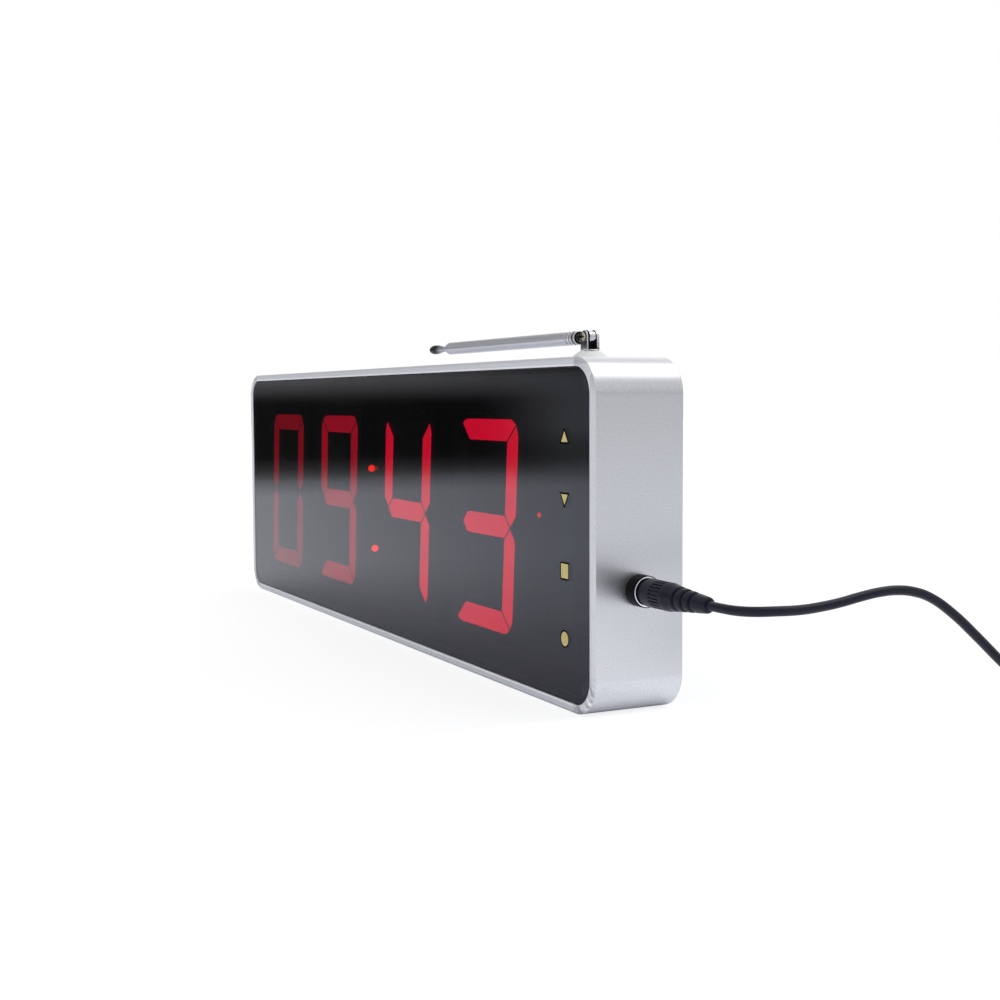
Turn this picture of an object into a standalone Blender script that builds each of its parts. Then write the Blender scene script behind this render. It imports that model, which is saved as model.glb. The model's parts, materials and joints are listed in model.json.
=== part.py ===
"""Four-digit LED clock in an aluminium band case, with a telescopic aerial and a low-voltage power lead.

Metres, +Z up. The front faces -Y, +X is to the right seen from the front, and z = 0 is the surface that the
case stands on, under its middle.
"""

import math

import bmesh
import bpy
from mathutils import Matrix, Vector

MM = 0.001

# Clearances
GAP = 0.3 * MM  # between two pieces that touch
OVERCUT = 1.0 * MM  # how far a cutter runs past the face that it cuts

# Case: a band of aluminium round the front panel and the rear cover
LENGTH = 420 * MM
HEIGHT = 130 * MM
DEPTH = 38 * MM
CORNER_RADIUS = 14 * MM
WALL = 2.2 * MM
RIM_WIDTH = 3.4 * MM
RIM_CHAMFER = 1.0 * MM
RIM_INNER_CHAMFER = 0.3 * MM
REAR_CHAMFER = 0.6 * MM
LEDGE_WIDTH = 3.0 * MM
LEDGE_THICKNESS = 1.5 * MM
BOSS_RADIUS = 4.5 * MM

# Front panel and the tape that holds it on the ledge
PANEL_RECESS = 0.6 * MM
PANEL_THICKNESS = 2.0 * MM
TAPE_THICKNESS = 0.5 * MM
TAPE_MARGIN = 0.5 * MM

# Rear cover and its countersunk screws
COVER_RECESS = 0.5 * MM
COVER_THICKNESS = 1.5 * MM
SCREW_RADIUS = 1.45 * MM
SCREW_HEAD_RADIUS = 2.7 * MM
SCREW_HEAD_DEPTH = 1.25 * MM
SCREW_LENGTH = 10 * MM
CROSS_LENGTH = 3.0 * MM
CROSS_WIDTH = 0.6 * MM
CROSS_DEPTH = 0.8 * MM
VENT_COUNT = 9
VENT_PITCH = 7 * MM
VENT_WIDTH = 2.6 * MM
VENT_LENGTH = 26 * MM
VENT_GROUP_INSET = 115 * MM

# Digits: seven segments each, in a moulded housing with a light guide behind its openings. The row of
# housings fills the case's length between two margins
ROW_LEFT_MARGIN = 32.43 * MM
ROW_RIGHT_MARGIN = 56.23 * MM
DIGIT_HEIGHT = 86.2 * MM
DIGIT_CORNER = 6.5 * MM
DIGIT_SLANT = 0.079
SEGMENT_POST = 9.3 * MM
SEGMENT_BAR = 8.5 * MM
SEGMENT_GAP = 0.9 * MM
DIGITS_RISE = -1.4 * MM
HOUSING_MARGIN = 4.7 * MM
HOUSING_SPACE = 14.6 * MM
COLON_SPACE = 22.1 * MM
HOUSING_DEPTH = 9.0 * MM
HOUSING_FACE = 3.5 * MM
HOUSING_WALL = 1.6 * MM
GUIDE_THICKNESS = 2.0 * MM

# Colon lamps and the signal lamp
LED_RADIUS = 2.5 * MM
SIGNAL_LED_RADIUS = 1.5 * MM
LED_FLANGE = 0.4 * MM
LED_FLANGE_HEIGHT = 1.0 * MM
COLON_LAMP_SPAN = 39.4 * MM
COLON_LAMP_RISE = -2.2 * MM
COLON_LAMP_STAGGER = 3.2 * MM
SIGNAL_LED_OFFSET = 11.0 * MM
SIGNAL_LED_RISE = 7.0 * MM

# Boards and what sits on the back of the display board
BOARD_THICKNESS = 1.6 * MM
BOARD_MARGIN = 6.0 * MM
STANDOFF_ACROSS = 5.5 * MM
STANDOFF_INSET = 9 * MM
CHIP_SIDE = 14 * MM
CHIP_HEIGHT = 1.8 * MM
RADIO_LENGTH = 26 * MM
RADIO_WIDTH = 18 * MM
RADIO_HEIGHT = 3.2 * MM
RADIO_INSET = 85 * MM
CELL_RADIUS = 10 * MM
CELL_THICKNESS = 3.2 * MM
CELL_WALL = 1.2 * MM
CELL_INSET = 115 * MM
BUZZER_RADIUS = 6 * MM
BUZZER_HEIGHT = 7 * MM
BUZZER_HOLE = 1.0 * MM
BUZZER_INSET = 170 * MM
BLOCK_BEVEL = 0.4 * MM

# Touch keys, flush with the front panel
KEY_INSET = 22.2 * MM
KEY_HEIGHTS = (101.2 * MM, 77.8 * MM, 51.6 * MM, 26.4 * MM)
KEY_SIDE = 6.0 * MM
KEY_TRIANGLE_HEIGHT = 4.8 * MM
TOUCH_BOARD_WIDTH = 12 * MM
TOUCH_BOARD_THICKNESS = 1.2 * MM
TOUCH_BOARD_MARGIN = 8 * MM

# Aerial: a dome-shaped grommet, a fork that swivels in it, and a folding telescopic rod
AERIAL_INSET = 35.3 * MM
DOME_RADIUS = 6.2 * MM
DOME_HEIGHT = 3.0 * MM
SLEEVE_RADIUS = 4.0 * MM
SLEEVE_LENGTH = 3.4 * MM
STEM_RADIUS = 2.0 * MM
STEM_END = 2.2 * MM  # how far the stem stands out of its nut
FORK_BASE_RADIUS = 4.1 * MM
FORK_BASE = 1.0 * MM
EAR_RADIUS = 3.0 * MM
EAR_THICKNESS = 1.2 * MM
TONGUE_THICKNESS = 2.4 * MM
TONGUE_RADIUS = 2.3 * MM
TONGUE_FLOOR_GAP = 1.2 * MM
HINGE_RADIUS = 1.0 * MM
HINGE_HEAD_RADIUS = 2.1 * MM
HINGE_HEAD_HEIGHT = 1.1 * MM
NUT_ACROSS = 7.0 * MM
NUT_HEIGHT = 2.4 * MM
CONE_START = 5.8 * MM
CONE_END = 9.9 * MM
CONE_RADIUS = 1.6 * MM
SPIGOT_LENGTH = 8 * MM
TUBE_LENGTH = 121 * MM
TUBE_RADIUS = 2.7 * MM
TUBE_WALL = 0.3 * MM
TUBE_GROOVE = 0.15 * MM
TUBE_GROOVE_WIDTH = 1.0 * MM
TUBE_GROOVES = (3.0 * MM, 6.5 * MM)
CRIMP = 0.15 * MM  # how far the mouth of the outer tube is rolled in
CRIMP_LENGTH = 3.2 * MM
SECTION_GAP = 0.25 * MM  # between an inner section and the bore that it slides in
SECTION_STEP = 0.6 * MM  # how far each inner section stands out past the one round it
NECK_LENGTH = 4.0 * MM
TIP_RADIUS = 2.1 * MM
TIP_LENGTH = 13.5 * MM
TIP_BORE_DEPTH = 5 * MM

# Power inlet on the right side
JACK_HEIGHT = 46.0 * MM
JACK_RADIUS = 5.85 * MM
JACK_BARREL = 5.3 * MM
JACK_THREAD_RADIUS = 3.9 * MM
JACK_BODY_LENGTH = 16 * MM
JACK_BORE_RADIUS = 3.1 * MM
JACK_RECESS_RADIUS = 4.4 * MM
JACK_RECESS_DEPTH = 4.3 * MM
JACK_REAR_WALL = 4 * MM
JACK_RING_RADIUS = 5.2 * MM
JACK_RING_WIDTH = 0.7 * MM
JACK_RING_THICKNESS = 1.0 * MM
JACK_NUT_ACROSS = 11 * MM
JACK_NUT_HEIGHT = 2.5 * MM
JACK_PIN_RADIUS = 0.9 * MM

# Plug on the lead
PLUG_NOSE_DEPTH = 3.5 * MM
PLUG_RADIUS = 5.1 * MM
PLUG_CHAMFER = 0.4 * MM
PLUG_GRIP_LENGTH = 15 * MM
PLUG_TAPER_LENGTH = 6 * MM
PLUG_RELIEF_LENGTH = 17 * MM
PLUG_RELIEF_RADIUS = 4.5 * MM
PLUG_END_RADIUS = 2.7 * MM
PLUG_GROOVES = 3
PLUG_GROOVE_DEPTH = 0.7 * MM
PLUG_GROOVE_WIDTH = 1.3 * MM
PLUG_SLOTS = 14
PLUG_SLOT_LENGTH = 7 * MM
PLUG_SLOT_WIDTH = 0.8 * MM
PLUG_SLOT_DEPTH = 0.5 * MM
SLEEVE_TUBE_RADIUS = 2.75 * MM
SLEEVE_BORE = 1.25 * MM
SLEEVE_TUBE_LENGTH = 9.5 * MM
SLEEVE_SEAT = 3.0 * MM

# Lead: a free stretch down to the surface, then a tied coil of two layers
CORD_DIAMETER = 3.4 * MM
CORD_POINT_SPACING = 7.5 * MM
CORD_ROUTE = (  # x from the end of the plug, y and z
    (0.0, 0.0, 46.0),
    (7.0, 0.0, 46.0),
    (14.0, 0.7, 46.1),
    (19.5, 3.7, 46.3),
    (22.4, 10.0, 46.4),
    (23.2, 19.0, 46.3),
    (23.2, 28.0, 46.8),
    (23.2, 36.0, 47.7),
    (23.2, 44.0, 49.0),
    (23.2, 52.5, 50.0),
    (23.2, 60.0, 50.1),
    (23.2, 67.0, 49.1),
    (23.2, 74.0, 46.8),
    (23.2, 84.0, 40.8),
    (23.2, 96.0, 31.4),
    (23.2, 108.0, 21.4),
    (23.2, 120.0, 12.4),
    (23.2, 132.0, 6.2),
    (23.2, 144.0, 3.2),
    (23.2, 153.0, 2.6),
)
COIL_TURNS = 3.5  # in each layer
COIL_MEAN_RADIUS = 20 * MM
COIL_TURN_GAP = 0.5 * MM
COIL_POINTS_PER_TURN = 24
TIE_THICKNESS = 0.6 * MM
TIE_WIDTH = 6 * MM
TIE_GAP = 0.7 * MM
TAIL_LENGTH = 22 * MM

# Plug on the far end of the lead
FAR_PLUG_WIDTH = 15.4 * MM
FAR_PLUG_HEIGHT = 8.0 * MM
FAR_PLUG_BODY_LENGTH = 27 * MM
FAR_PLUG_RELIEF_LENGTH = 11 * MM
FAR_PLUG_RELIEF_RADIUS = 2.6 * MM
FAR_PLUG_SHELL_WIDTH = 12.0 * MM
FAR_PLUG_SHELL_HEIGHT = 4.5 * MM
FAR_PLUG_SHELL_LENGTH = 18.7 * MM
FAR_PLUG_SHELL_WALL = 0.4 * MM
FAR_PLUG_TONGUE_THICKNESS = 1.7 * MM
FAR_PLUG_CORNER = 2.0 * MM

# Facets of round shapes
CORNER_STEPS = 8
ROUND_SIDES = 20
FINE_SIDES = 28

# Places that follow from the sizes above
FRONT_Y = -DEPTH / 2
REAR_Y = DEPTH / 2
MIDDLE_Z = HEIGHT / 2
SIDE_X = LENGTH / 2
PANEL_FRONT = FRONT_Y + PANEL_RECESS
PANEL_BACK = PANEL_FRONT + PANEL_THICKNESS
LEDGE_FRONT = PANEL_BACK + TAPE_THICKNESS + 2 * GAP
LEDGE_BACK = LEDGE_FRONT + LEDGE_THICKNESS
COVER_BACK = REAR_Y - COVER_RECESS
COVER_FRONT = COVER_BACK - COVER_THICKNESS
BOSS_END = COVER_FRONT - GAP
HOUSING_FRONT = PANEL_BACK + GAP
BOARD_FRONT = HOUSING_FRONT + HOUSING_DEPTH + GAP
BOARD_BACK = BOARD_FRONT + BOARD_THICKNESS
HOUSINGS_LEFT = ROW_LEFT_MARGIN - SIDE_X
HOUSINGS_RIGHT = SIDE_X - ROW_RIGHT_MARGIN
HOUSING_WIDTH = (HOUSINGS_RIGHT - HOUSINGS_LEFT - 2 * HOUSING_SPACE - COLON_SPACE) / 4
DIGIT_WIDTH = HOUSING_WIDTH - DIGIT_SLANT * DIGIT_HEIGHT - 2 * HOUSING_MARGIN
HOUSING_HEIGHT = DIGIT_HEIGHT + 2 * HOUSING_MARGIN
DIGITS_X = (HOUSINGS_LEFT + HOUSINGS_RIGHT) / 2
DIGITS_Z = MIDDLE_Z + DIGITS_RISE
DIGIT_REACH = (COLON_SPACE + HOUSING_WIDTH) / 2
DIGIT_PITCH = HOUSING_WIDTH + HOUSING_SPACE
DIGIT_PLACES = [
    DIGITS_X + side * (DIGIT_REACH + step * DIGIT_PITCH)
    for side, step in ((-1, 1), (-1, 0), (1, 0), (1, 1))
]
SIGNAL_LED_X = HOUSINGS_RIGHT + SIGNAL_LED_OFFSET
VENT_GROUP_X = SIDE_X - VENT_GROUP_INSET
RADIO_X = SIDE_X - RADIO_INSET
CELL_X = CELL_INSET - SIDE_X
BUZZER_X = BUZZER_INSET - SIDE_X
BOARD_LEFT = HOUSINGS_LEFT - BOARD_MARGIN
BOARD_RIGHT = SIGNAL_LED_X + BOARD_MARGIN
BOSS_OFFSET = (CORNER_RADIUS - WALL / 2 - BOSS_RADIUS) / math.sqrt(2)
BOSS_X = SIDE_X - CORNER_RADIUS + BOSS_OFFSET
BOSS_Z = HEIGHT / 2 - CORNER_RADIUS + BOSS_OFFSET
KEY_X = SIDE_X - KEY_INSET
AERIAL_X = SIDE_X - AERIAL_INSET
FORK_BOTTOM = HEIGHT + GAP + DOME_HEIGHT + GAP
FORK_FLOOR = FORK_BOTTOM + FORK_BASE
PIVOT_Z = FORK_FLOOR + TONGUE_FLOOR_GAP + TONGUE_RADIUS
EAR_INNER = TONGUE_THICKNESS / 2 + GAP
EAR_OUTER = EAR_INNER + EAR_THICKNESS
TUBE_START = CONE_END + GAP
TUBE_END = TUBE_START + TUBE_LENGTH
TUBE_BORE = TUBE_RADIUS - TUBE_WALL
SECTION_START = CONE_END + SPIGOT_LENGTH + GAP
JACK_BACK = SIDE_X + GAP
JACK_FRONT = JACK_BACK + JACK_BARREL
JACK_BODY_END = JACK_BACK - JACK_BODY_LENGTH
PLUG_NOSE = JACK_FRONT - PLUG_NOSE_DEPTH
PLUG_GRIP_START = JACK_FRONT + GAP
PLUG_TAPER_START = PLUG_GRIP_START + PLUG_GRIP_LENGTH
PLUG_RELIEF_START = PLUG_TAPER_START + PLUG_TAPER_LENGTH
PLUG_END = PLUG_RELIEF_START + PLUG_RELIEF_LENGTH
CORD_RADIUS = CORD_DIAMETER / 2
COIL_PITCH = CORD_DIAMETER + COIL_TURN_GAP
COIL_OUTER = COIL_MEAN_RADIUS + COIL_PITCH * COIL_TURNS / 2
COIL_INNER = COIL_MEAN_RADIUS - COIL_PITCH * COIL_TURNS / 2
COIL_Z = TIE_THICKNESS + GAP + CORD_RADIUS
TURN_ALONG = {
    "X": Matrix.Identity(4),
    "Y": Matrix.Rotation(math.pi / 2, 4, "Z"),
    "Z": Matrix.Rotation(-math.pi / 2, 4, "Y"),
}


# Mesh tools


def finished(bm):
    """The mesh of this bmesh, with its faces turned outwards."""
    bmesh.ops.recalc_face_normals(bm, faces=bm.faces)
    mesh = bpy.data.meshes.new("mesh")
    bm.to_mesh(mesh)
    bm.free()
    return mesh


def skinned(loops, closed=False):
    """A closed mesh over loops of 3-D points: a ring of loops, or a stack of them with capped ends."""
    bm = bmesh.new()
    rows = [[bm.verts.new(point) for point in loop] for loop in loops]
    pairs = list(zip(rows, rows[1:]))
    if closed:
        pairs.append((rows[-1], rows[0]))
    else:
        bm.faces.new(rows[0])
        bm.faces.new(rows[-1])
    count = len(rows[0])
    for low, high in pairs:
        for k in range(count):
            n = (k + 1) % count
            bm.faces.new((low[k], low[n], high[n], high[k]))
    return finished(bm)


def turned(profile, axis, centre=(0, 0, 0), sides=ROUND_SIDES):
    """A mesh turned about an axis from (along, radius) points. A profile that doesn't start on the axis is
    a closed ring."""
    bm = bmesh.new()
    rings = []
    for along, radius in profile:
        count = sides if radius > 0 else 1
        angles = [2 * math.pi * k / sides for k in range(count)]
        rings.append([bm.verts.new((along, radius * math.cos(a), radius * math.sin(a))) for a in angles])
    pairs = list(zip(rings, rings[1:]))
    if profile[0][1] > 0:
        pairs.append((rings[-1], rings[0]))
    for low, high in pairs:
        for k in range(sides):
            corners = (low[k % len(low)], low[(k + 1) % len(low)])
            corners += (high[(k + 1) % len(high)], high[k % len(high)])
            bm.faces.new(dict.fromkeys(corners))
    bm.transform(Matrix.Translation(centre) @ TURN_ALONG[axis])
    return finished(bm)


def prism(outline, low, high, axis="Y", centre=(0, 0, 0)):
    """A mesh pushed along an axis from an outline. Along Y the outline's points are (x, z)."""
    place = {
        "X": lambda u, v, along: (along, u, v),
        "Y": lambda u, v, along: (u, along, v),
        "Z": lambda u, v, along: (u, v, along),
    }[axis]
    shift = Vector(centre)
    return skinned([[Vector(place(u, v, along)) + shift for u, v in outline] for along in (low, high)])


def block(low, high, bevel=0.0):
    """A box between two corners, with its edges bevelled."""
    bm = bmesh.new()
    bmesh.ops.create_cube(bm, size=1)
    size = Vector(high) - Vector(low)
    middle = (Vector(high) + Vector(low)) / 2
    bm.transform(Matrix.Translation(middle) @ Matrix.Diagonal((*size, 1)))
    if bevel:
        bmesh.ops.bevel(bm, geom=bm.edges[:], offset=bevel, segments=1, affect="EDGES")
    return finished(bm)


def joined(meshes):
    """One mesh that holds several, as a tool for a Boolean."""
    bm = bmesh.new()
    for mesh in meshes:
        bm.from_mesh(mesh)
    return finished(bm)


def boolean(mesh, tools, operation="DIFFERENCE"):
    """This mesh cut by, or joined with, each of the tools."""
    scene = bpy.context.scene.collection
    target = bpy.data.objects.new("target", mesh)
    scene.objects.link(target)
    helpers = []
    for tool in tools:
        helper = bpy.data.objects.new("tool", tool)
        helper.hide_render = True
        helper.display_type = "WIRE"
        scene.objects.link(helper)
        helpers.append(helper)
        modifier = target.modifiers.new(operation.lower(), "BOOLEAN")
        modifier.operation = operation
        modifier.solver = "EXACT"
        modifier.object = helper
    graph = bpy.context.evaluated_depsgraph_get()
    result = bpy.data.meshes.new_from_object(target.evaluated_get(graph))
    for helper in (target, *helpers):
        bpy.data.objects.remove(helper)
    return result


def material(name, colour, roughness, metallic=0.0):
    """A Principled material; the colour is linear RGB."""
    made = bpy.data.materials.new(name)
    made.use_nodes = True
    shader = made.node_tree.nodes["Principled BSDF"]
    shader.inputs["Base Color"].default_value = (*colour, 1)
    shader.inputs["Roughness"].default_value = roughness
    shader.inputs["Metallic"].default_value = metallic
    return made


def piece(name, mesh, finish, location=(0, 0, 0), parent=None):
    """An object for one sub-part, shaded smooth except at its edges."""
    if not mesh.materials:
        mesh.materials.append(finish)
    mesh.shade_smooth()
    mesh.set_sharp_from_angle(angle=math.radians(35))
    made = bpy.data.objects.new(name, mesh)
    made.location = location
    made.parent = parent
    bpy.context.scene.collection.objects.link(made)
    return made


# Outlines, as (x, z) points that go round counterclockwise


def rounded_rectangle(half_x, half_z, radius, steps=CORNER_STEPS):
    """A rectangle about the origin with round corners."""
    points = []
    for quarter, (sx, sz) in enumerate(((1, 1), (-1, 1), (-1, -1), (1, -1))):
        for k in range(steps + 1):
            angle = math.pi / 2 * (quarter + k / steps)
            points.append(
                (
                    sx * (half_x - radius) + radius * math.cos(angle),
                    sz * (half_z - radius) + radius * math.sin(angle),
                )
            )
    return points


def polygon(radius, sides, start=0.0):
    """A regular polygon about the origin, by the radius of its corners."""
    angles = [start + 2 * math.pi * k / sides for k in range(sides)]
    return [(radius * math.cos(a), radius * math.sin(a)) for a in angles]


def hexagon(across):
    """A hexagon by its width across the flats."""
    return polygon(across / math.sqrt(3), 6)


def offset_outline(points, distance):
    """A convex outline with each of its edges moved outwards."""
    moved = []
    for k, here in enumerate(points):
        before = (Vector(here) - Vector(points[k - 1])).normalized()
        after = (Vector(points[(k + 1) % len(points)]) - Vector(here)).normalized()
        normal_in = Vector((before.y, -before.x))
        normal_out = Vector((after.y, -after.x))
        corner = (normal_in + normal_out) * distance / (1 + normal_in.dot(normal_out))
        moved.append(tuple(Vector(here) + corner))
    return moved


def moved_outline(points, x, z):
    """An outline moved to a place."""
    return [(u + x, v + z) for u, v in points]


def case_outline(inset):
    """The case's outline, drawn in by an inset."""
    outline = rounded_rectangle(LENGTH / 2 - inset, HEIGHT / 2 - inset, CORNER_RADIUS - inset)
    return moved_outline(outline, 0, MIDDLE_Z)


def case_ring(profile):
    """A band round the case from a cross-section of (inset, y) points."""
    return skinned([[(x, y, z) for x, z in case_outline(inset)] for inset, y in profile], closed=True)


def slot_outline(width, length, steps=6):
    """An upright slot with round ends."""
    return rounded_rectangle(width / 2, length / 2, width / 2 * 0.999, steps)


def segment_outlines():
    """The seven segments of one digit about its middle, with mitred ends and round outer corners."""
    half_w, half_h = DIGIT_WIDTH / 2, DIGIT_HEIGHT / 2
    post, bar = SEGMENT_POST, SEGMENT_BAR
    slip = SEGMENT_GAP / math.sqrt(2)
    trim = DIGIT_CORNER * (1 - math.sqrt(0.5))
    centre = half_w - post / 2
    right_half = [
        (half_w - post - slip, half_h - bar),
        (half_w - trim - slip, half_h - trim),
        (half_w - DIGIT_CORNER, half_h),
    ]
    top_bar = right_half + [(-x, z) for x, z in reversed(right_half)]
    upper_post = [
        (centre, slip),
        (half_w, slip + post / 2),
        (half_w, half_h - DIGIT_CORNER),
        (half_w - trim, half_h - trim - slip),
        (half_w - post, half_h - bar - slip),
        (half_w - post, slip + post / 2),
    ]
    shoulder = centre - slip - bar / 2
    middle_bar = [
        (centre - slip, 0),
        (shoulder, bar / 2),
        (-shoulder, bar / 2),
        (slip - centre, 0),
        (-shoulder, -bar / 2),
        (shoulder, -bar / 2),
    ]
    upright = [
        top_bar,
        upper_post,
        mirrored(upper_post, 1, -1),
        mirrored(top_bar, 1, -1),
        mirrored(upper_post, -1, -1),
        mirrored(upper_post, -1, 1),
        middle_bar,
    ]
    return [[(x + DIGIT_SLANT * z, z) for x, z in outline] for outline in upright]


def mirrored(outline, sx, sz):
    """An outline mirrored across one axis, or turned half round, still counterclockwise."""
    points = [(sx * x, sz * z) for x, z in outline]
    return points if sx * sz > 0 else points[::-1]


def key_outlines():
    """The outlines of the four touch keys about their own middles, from the top key down."""
    half, rise = KEY_SIDE / 2, KEY_TRIANGLE_HEIGHT / 2
    triangle = [(-half, -rise), (half, -rise), (0, rise)]
    square = [(-half, -half), (half, -half), (half, half), (-half, half)]
    return {
        "touch_key_up": triangle,
        "touch_key_down": mirrored(triangle, 1, -1),
        "touch_key_square": square,
        "touch_key_round": polygon(half, FINE_SIDES),
    }


# Case


def boss_places():
    """The four screw bosses in the corners of the case, as (x, z)."""
    return [(sx * BOSS_X, MIDDLE_Z + sz * BOSS_Z) for sx in (-1, 1) for sz in (-1, 1)]


def make_frame(finish):
    """The aluminium band: rim, ledge for the panel, corner bosses, holes for the inlet and the aerial."""
    ledge = RIM_WIDTH + LEDGE_WIDTH
    band = case_ring(
        [
            (0, FRONT_Y + RIM_CHAMFER),
            (RIM_CHAMFER, FRONT_Y),
            (RIM_WIDTH - RIM_INNER_CHAMFER, FRONT_Y),
            (RIM_WIDTH, FRONT_Y + RIM_INNER_CHAMFER),
            (RIM_WIDTH, LEDGE_FRONT),
            (ledge, LEDGE_FRONT),
            (ledge, LEDGE_BACK),
            (WALL, LEDGE_BACK),
            (WALL, REAR_Y),
            (REAR_CHAMFER, REAR_Y),
            (0, REAR_Y - REAR_CHAMFER),
        ]
    )
    boss_root = (LEDGE_FRONT + LEDGE_BACK) / 2
    bosses = []
    holes = []
    for x, z in boss_places():
        bosses.append(prism(moved_outline(polygon(BOSS_RADIUS, ROUND_SIDES), x, z), boss_root, BOSS_END))
        hole = moved_outline(polygon(SCREW_RADIUS + GAP, ROUND_SIDES), x, z)
        holes.append(prism(hole, COVER_BACK - SCREW_LENGTH - GAP, REAR_Y))
    inlet_outline = polygon(JACK_THREAD_RADIUS + GAP, FINE_SIDES)
    inlet = prism(inlet_outline, SIDE_X - WALL - OVERCUT, SIDE_X + OVERCUT, "X", (0, 0, JACK_HEIGHT))
    aerial_outline = polygon(SLEEVE_RADIUS + GAP, FINE_SIDES)
    aerial = prism(aerial_outline, HEIGHT - WALL - OVERCUT, HEIGHT + OVERCUT, "Z", (AERIAL_X, 0, 0))
    solid = boolean(band, [joined(bosses)], "UNION")
    piece("frame", boolean(solid, [joined(holes), inlet, aerial]), finish)


def make_front_panel(panel_finish, tape_finish, key_finish):
    """The acrylic panel with its flush touch keys, and the tape that holds it on the ledge."""
    plate = prism(case_outline(RIM_WIDTH + GAP), PANEL_FRONT, PANEL_BACK)
    cuts = []
    for (name, outline), z in zip(key_outlines().items(), KEY_HEIGHTS):
        key = moved_outline(outline, KEY_X, z)
        piece(name, prism(key, PANEL_FRONT, PANEL_BACK), key_finish)
        cuts.append(prism(offset_outline(key, GAP), PANEL_FRONT - OVERCUT, PANEL_BACK + OVERCUT))
    piece("front_panel", boolean(plate, [joined(cuts)]), panel_finish)
    outer = RIM_WIDTH + GAP
    inner = RIM_WIDTH + LEDGE_WIDTH - TAPE_MARGIN
    front, back = PANEL_BACK + GAP, LEDGE_FRONT - GAP
    tape = case_ring([(outer, front), (inner, front), (inner, back), (outer, back)])
    piece("panel_tape", tape, tape_finish)


def make_rear_cover(cover_finish, screw_finish):
    """The rear cover with its ventilation slots, and the four countersunk screws that hold it."""
    plate = prism(case_outline(WALL + GAP), COVER_FRONT, COVER_BACK)
    slots = []
    for side in (-1, 1):
        for k in range(VENT_COUNT):
            x = side * VENT_GROUP_X + (k - (VENT_COUNT - 1) / 2) * VENT_PITCH
            slot = moved_outline(slot_outline(VENT_WIDTH, VENT_LENGTH), x, MIDDLE_Z)
            slots.append(prism(slot, COVER_FRONT - OVERCUT, COVER_BACK + OVERCUT))
    neck = COVER_BACK - SCREW_HEAD_DEPTH
    screw_profile = [
        (COVER_BACK - SCREW_LENGTH, 0),
        (COVER_BACK - SCREW_LENGTH, SCREW_RADIUS),
        (neck, SCREW_RADIUS),
        (COVER_BACK, SCREW_HEAD_RADIUS),
        (COVER_BACK, 0),
    ]
    slope = (SCREW_HEAD_RADIUS - SCREW_RADIUS) / SCREW_HEAD_DEPTH
    sink_profile = [
        (COVER_FRONT - OVERCUT, 0),
        (COVER_FRONT - OVERCUT, SCREW_RADIUS + GAP),
        (neck, SCREW_RADIUS + GAP),
        (COVER_BACK + OVERCUT, SCREW_HEAD_RADIUS + GAP + slope * OVERCUT),
        (COVER_BACK + OVERCUT, 0),
    ]
    sinks = []
    for number, (x, z) in enumerate(boss_places(), 1):
        screw = turned(screw_profile, "Y", (x, 0, z))
        recess = cross_tools(x, z, COVER_BACK, CROSS_LENGTH)
        piece(f"cover_screw_{number}", boolean(screw, recess), screw_finish)
        sinks.append(turned(sink_profile, "Y", (x, 0, z)))
    piece("rear_cover", boolean(plate, [joined(slots), joined(sinks)]), cover_finish)


def cross_tools(x, z, face, length):
    """Two crossed bars that cut a screw's recess into a face that looks along Y, on either side of it."""
    low, high = face - CROSS_DEPTH, face + CROSS_DEPTH
    half, thin = length / 2, CROSS_WIDTH / 2
    return [
        block((x - half, low, z - thin), (x + half, high, z + thin)),
        block((x - thin, low, z - half), (x + thin, high, z + half)),
    ]


# Display


def make_digits(housing_finish, guide_finish):
    """Four digit housings, each with a light guide whose seven segments fill the openings in its face."""
    half_w, half_h = HOUSING_WIDTH / 2, HOUSING_HEIGHT / 2
    back = HOUSING_FRONT + HOUSING_DEPTH
    inner = HOUSING_FRONT + HOUSING_FACE
    cavity_w, cavity_h = half_w - HOUSING_WALL, half_h - HOUSING_WALL
    shell = block((-half_w, HOUSING_FRONT, -half_h), (half_w, back, half_h), BLOCK_BEVEL)
    cavity = block((-cavity_w, inner, -cavity_h), (cavity_w, back + OVERCUT, cavity_h))
    outlines = segment_outlines()
    openings = [prism(offset_outline(o, GAP), HOUSING_FRONT - OVERCUT, inner + OVERCUT) for o in outlines]
    housing = boolean(shell, [cavity, joined(openings)])
    slab_front = inner + GAP
    slab_w, slab_h = cavity_w - GAP, cavity_h - GAP
    slab = block((-slab_w, slab_front, -slab_h), (slab_w, slab_front + GUIDE_THICKNESS, slab_h))
    segments = [prism(o, HOUSING_FRONT, slab_front + GUIDE_THICKNESS / 2) for o in outlines]
    guide = boolean(slab, [joined(segments)], "UNION")
    for number, x in enumerate(DIGIT_PLACES, 1):
        piece(f"digit_housing_{number}", housing, housing_finish, (x, 0, DIGITS_Z))
        piece(f"digit_light_guide_{number}", guide, guide_finish, (x, 0, DIGITS_Z))


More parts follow.
